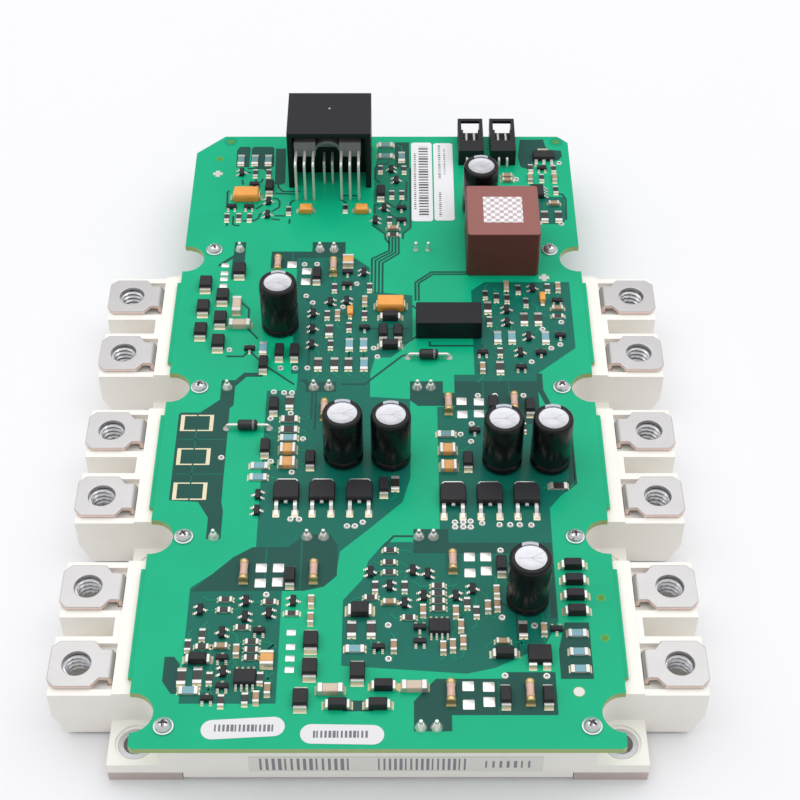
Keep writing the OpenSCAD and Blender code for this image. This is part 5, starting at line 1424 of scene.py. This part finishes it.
class MODULE_OT_chips(bpy.types.Operator):
    """Glazes the chip resistors, fires the chip capacitors, caps the cylinder resistors and solders them."""

    bl_idname = "module.chips"
    bl_label = "Chip parts"

    def execute(self, context):
        c, s = colours(), sizes()
        resistors = solid_boxes("chip_resistors")
        capacitors = solid_boxes("chip_capacitors")
        contacts = solid_boxes("chip_contacts")
        cylinders = solid_boxes("melf_resistors")
        centre = resistors.mean(1)[:, None, :2]
        near = 0.3 * MM
        blue, grey = (np.abs(centre - np.array(places)[None] * MM).max(-1).min(1) < near
                      for places in (BLUE_RESISTORS, GREY_RESISTORS))
        ceramic = mottled("chip_ceramic", c.ceramic, 0.55)
        dark = mottled("dark_glaze", c.glaze, 0.3, 0.2, 1.2, 6.0, 0.1)
        pale = mottled("blue_glaze", c.blue_glaze, 0.3, 0.1, 1.2, 6.0, 0.1)
        clear = mottled("grey_glaze", c.grey_glaze, 0.3, 0.1, 1.2, 6.0, 0.1)
        rings = [(0, 0), (0.8, 0), (1, 0.06 * MM)]
        points, faces = moulded(resistors, rings, 0.05 * MM)
        glaze = np.where(blue, 2, np.where(grey, 3, 1))
        sides = np.zeros((len(resistors), len(rings) - 1, RING_CORNERS), int)
        sides[:, -1] = glaze[:, None]
        build("glazed_resistors", points, faces, [ceramic, dark, pale, clear], "resistor_top",
              ["chip_resistors"], kinds=[sides.ravel(), glaze, 0])
        self.capacitors(c, capacitors)
        cap_limit = 2 * MM
        tall = contacts[:, 1, 2] - contacts[:, 0, 2] > cap_limit
        caps, ends = contacts[tall], contacts[~tall]
        bodies = np.concatenate([resistors, capacitors])
        direction = facing(ends, bodies)
        tin = metal("chip_tin", shade(c.tin, 0.85), 0.3, (3, 3, 3), 0.2, 0.6)
        stained = metal("chip_solder", c.solder, 0.32, (2, 2, 2), 0.2, 0.5)
        build("chip_end_caps", *strips(ends, direction, CAP), [tin], "tin")
        feet = beside(ends, direction, s.fillet)
        build("chip_solder_feet", *strips(feet, direction, MENISCUS), [stained], "tin")
        self.cylinders(c, cylinders, caps)
        self.fine_traces(c, ends, direction)
        return {"FINISHED"}

    def capacitors(self, c, boxes):
        """Three sizes of fired body, each with its own colour, with rounded edges."""
        tall = boxes[:, 1, 2] - boxes[:, 0, 2]
        small_limit, large_limit = 1.2 * MM, 1.6 * MM
        kind = np.where(tall < small_limit, 0, np.where(tall < large_limit, 1, 2))
        finishes = [
            mottled("small_dielectric", c.small_capacitor, 0.5, 0.15, 0.4),
            mottled("large_dielectric", c.large_capacitor, 0.5, 0.1, 0.4),
            mottled("long_dielectric", c.long_capacitor, 0.45, 0.06, 0.4),
        ]
        edge = sizes().small_edge
        rings = [(0, 0), (0.85, 0), (0.95, edge), (1, 2 * edge)]
        points, faces = moulded(boxes, rings, edge)
        kinds = [np.repeat(kind, RING_CORNERS * (len(rings) - 1)), kind, kind]
        build("fired_capacitors", points, faces, finishes, "capacitor_ceramic", ["chip_capacitors"],
              kinds=kinds)

    def cylinders(self, c, boxes, caps):
        """Lacquered bodies between two pressed caps, all lying along Y."""
        waist = [(0, 0.9), (0.12, 0.86), (0.5, 0.82), (0.88, 0.86), (1, 0.9)]
        lacquer = mottled("resistor_lacquer", c.lacquer, 0.25, 0.2, 0.9, 4.0, 0.1, Coat_Weight=0.4)
        build("lacquered_cylinders", *lying(boxes, waist, 20), [lacquer], "melf_coat", ["melf_resistors"])
        rim = [(0, 0.82), (0.08, 0.95), (0.2, 1), (0.8, 1), (0.92, 0.95), (1, 0.82)]
        gold = metal("pressed_cap", c.gold, 0.25, (3, 0.6, 3), 0.1, 0.7)
        build("pressed_caps", *lying(caps, rim, 20), [gold], "tin", ["chip_contacts"])
        direction = facing(caps, boxes)
        feet = beside(caps, direction, 0.5 * MM)
        feet[:, 1, 2] = feet[:, 0, 2] + 1.3 * MM
        build("cylinder_solder", *strips(feet, direction, MENISCUS), [gold], "tin")

    def fine_traces(self, c, ends, direction):
        """Short lines under the mask from the chips' ends: out, then slanting, and kept inside the fields.

        The reach and the slant's side go round in turn with the contact's number.
        """
        start = ends.mean(1)[:, :2] / MM
        number = np.arange(len(ends))
        out = 1.4 + 0.5 * (number % 4)
        slant = np.where(number % 2 == 0, 1, -1) * (0.8 + 0.4 * (number % 3))
        bend = start + direction * out[:, None]
        across = direction[:, ::-1]
        end = bend + direction * np.abs(slant)[:, None] + across * slant[:, None]
        fields = TEAL_FIELDS + LAMINATE_FIELDS[CORNER_FIELDS:]
        kept = inside(start, fields) & inside(end, fields)
        width = sizes().fine_trace / MM
        lines = [ribbon(path, width) for path in np.stack([start, bend, end], 1)[kept]]
        level = BOARD_TOP + 4 * sizes().mask_step
        finish = mask("trace_lacquer", c.trace, c.trace)
        build("fine_traces", *plates(lines, BOARD_TOP, level), [finish], "board_mask")


class MODULE_OT_labels(bpy.types.Operator):
    """Lays the paper labels with plain stripes on the board and on the near wall."""

    bl_idname = "module.labels"
    bl_label = "Labels"

    def execute(self, context):
        c = colours()
        boxes = solid_boxes("labels")
        tall = boxes[:, 1, 2] - boxes[:, 0, 2]
        long_side = boxes[:, 1, 1] - boxes[:, 0, 1]
        flat_limit, strip_limit = 1 * MM, 20 * MM
        strips_on_board = boxes[(tall < flat_limit) & (long_side > strip_limit)]
        wall = boxes[tall > flat_limit]
        sheet = [(0, 0), (1, 0.02 * MM)]
        striped = printed_paper("striped_label", c.paper, c.ink, 1, LABEL_ROWS)
        build("board_labels", *moulded(strips_on_board, sheet, 0.6 * MM), [striped], "label_paper",
              ["labels"])
        # Painted shade: the label's paper is the housing's colour darkened to 0.86, the shade on the near
        # wall
        barred = printed_paper("barred_label", shade(c.housing, 0.86), shade(c.ink, 2.4), 0,
                               WALL_ROWS)
        build("wall_label", *moulded(wall, [(0, 0), (1, 0)], 0.02 * MM), [barred], "label_paper")
        self.capsules(c)
        return {"FINISHED"}

    def capsules(self, c):
        """Two stickers with round ends: half circles joined by straight sides, each with its own turn."""
        dashed = printed_paper("dashed_label", shade(c.paper, 0.88), shade(c.ink, 1.6), 0,
                               STICKER_ROWS)
        half, radius = 6.75, 2.5
        arc = np.radians(np.linspace(-90, 90, 13))
        right = np.column_stack([half + radius * np.cos(arc), radius * np.sin(arc)])
        plan = np.concatenate([right, -right])
        outlines = []
        for x, y, turn in STICKERS:
            cos, sin = math.cos(math.radians(turn)), math.sin(math.radians(turn))
            outlines.append(plan @ np.array([[cos, sin], [-sin, cos]]) + (x, y))
        build("sticker_capsules", *plates(outlines, BOARD_TOP, BOARD_TOP + 0.1 * MM), [dashed], "label_paper")


class MODULE_OT_stage(bpy.types.Operator):
    """Sets the camera, the pale floor, the even sky and the soft lamp."""

    bl_idname = "module.stage"
    bl_label = "Stage"

    def execute(self, context):
        stage = context.scene.module_stage
        camera = bpy.data.objects.new("camera", bpy.data.cameras.new("camera"))
        camera.data.lens = stage.lens
        camera.data.sensor_width = FILM_WIDTH
        camera.data.clip_start = NEAR_LIMIT
        turn = Euler((stage.camera_pitch, 0, stage.camera_yaw)).to_matrix()
        roll = Matrix.Rotation(stage.camera_roll, 3, "Z")
        camera.matrix_world = Matrix.Translation(stage.camera_place) @ (turn @ roll).to_4x4()
        context.scene.collection.objects.link(camera)
        context.scene.camera = camera
        self.floor(context, stage.floor_half)
        self.light(context, stage)
        context.scene.view_settings.view_transform = "Standard"
        return {"FINISHED"}

    def floor(self, context, half):
        """A flat square floor at the base plate's underside."""
        mesh = bpy.data.meshes.new("floor")
        corners = [(-half, -half, 0), (half, -half, 0), (half, half, 0), (-half, half, 0)]
        mesh.from_pydata(corners, [], [(0, 1, 2, 3)])
        mesh.materials.append(mottled("floor_card", colours().floor, 0.7, 0.005, 0.02, 0.5, 0.02))
        floor = bpy.data.objects.new("floor", mesh)
        context.scene.collection.objects.link(floor)

    def light(self, context, stage):
        """An even sky and one large lamp above the module."""
        world = bpy.data.worlds.new("studio")
        world.use_nodes = True
        world.node_tree.nodes["Background"].inputs["Color"].default_value = (1, 1, 1, 1)
        world.node_tree.nodes["Background"].inputs["Strength"].default_value = stage.sky
        context.scene.world = world
        lamp = bpy.data.lights.new("soft_lamp", "AREA")
        lamp.shape = "RECTANGLE"
        lamp.size, lamp.size_y = stage.lamp_size
        lamp.energy = stage.lamp
        made = bpy.data.objects.new("soft_lamp", lamp)
        made.location = stage.lamp_place
        made.rotation_euler = (stage.lamp_tilt, 0, 0)
        context.scene.collection.objects.link(made)


class MODULE_PT_dressing(bpy.types.Panel):
    """Lists the dressing's settings and operators."""

    bl_idname = "MODULE_PT_dressing"
    bl_label = "Driver module"
    bl_space_type = "VIEW_3D"
    bl_region_type = "UI"
    bl_category = "Module"

    def draw(self, context):
        for operator in OPERATORS:
            self.layout.operator(operator.bl_idname)
        for group in (context.scene.module_colours, context.scene.module_sizes, context.scene.module_stage):
            box = self.layout.box()
            for name in group.__annotations__:
                box.prop(group, name)


OPERATORS = (
    MODULE_OT_base, MODULE_OT_housing, MODULE_OT_terminals, MODULE_OT_board, MODULE_OT_screws,
    MODULE_OT_blocks, MODULE_OT_sockets, MODULE_OT_capacitors, MODULE_OT_tantalums, MODULE_OT_axial_diodes,
    MODULE_OT_power_transistors, MODULE_OT_black_parts, MODULE_OT_chips, MODULE_OT_labels, MODULE_OT_stage,
)
CLASSES = (ModuleColours, ModuleSizes, ModuleStage, *OPERATORS, MODULE_PT_dressing)


def register():
    for made in CLASSES:
        bpy.utils.register_class(made)
    bpy.types.Scene.module_colours = bpy.props.PointerProperty(type=ModuleColours)
    bpy.types.Scene.module_sizes = bpy.props.PointerProperty(type=ModuleSizes)
    bpy.types.Scene.module_stage = bpy.props.PointerProperty(type=ModuleStage)


def unregister():
    del bpy.types.Scene.module_stage
    del bpy.types.Scene.module_sizes
    del bpy.types.Scene.module_colours
    for made in reversed(CLASSES):
        bpy.utils.unregister_class(made)


def main():
    """Registers the classes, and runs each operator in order."""
    register()
    for operator in OPERATORS:
        group, name = operator.bl_idname.split(".")
        getattr(getattr(bpy.ops, group), name)()


if __name__ == "__main__":
    main()
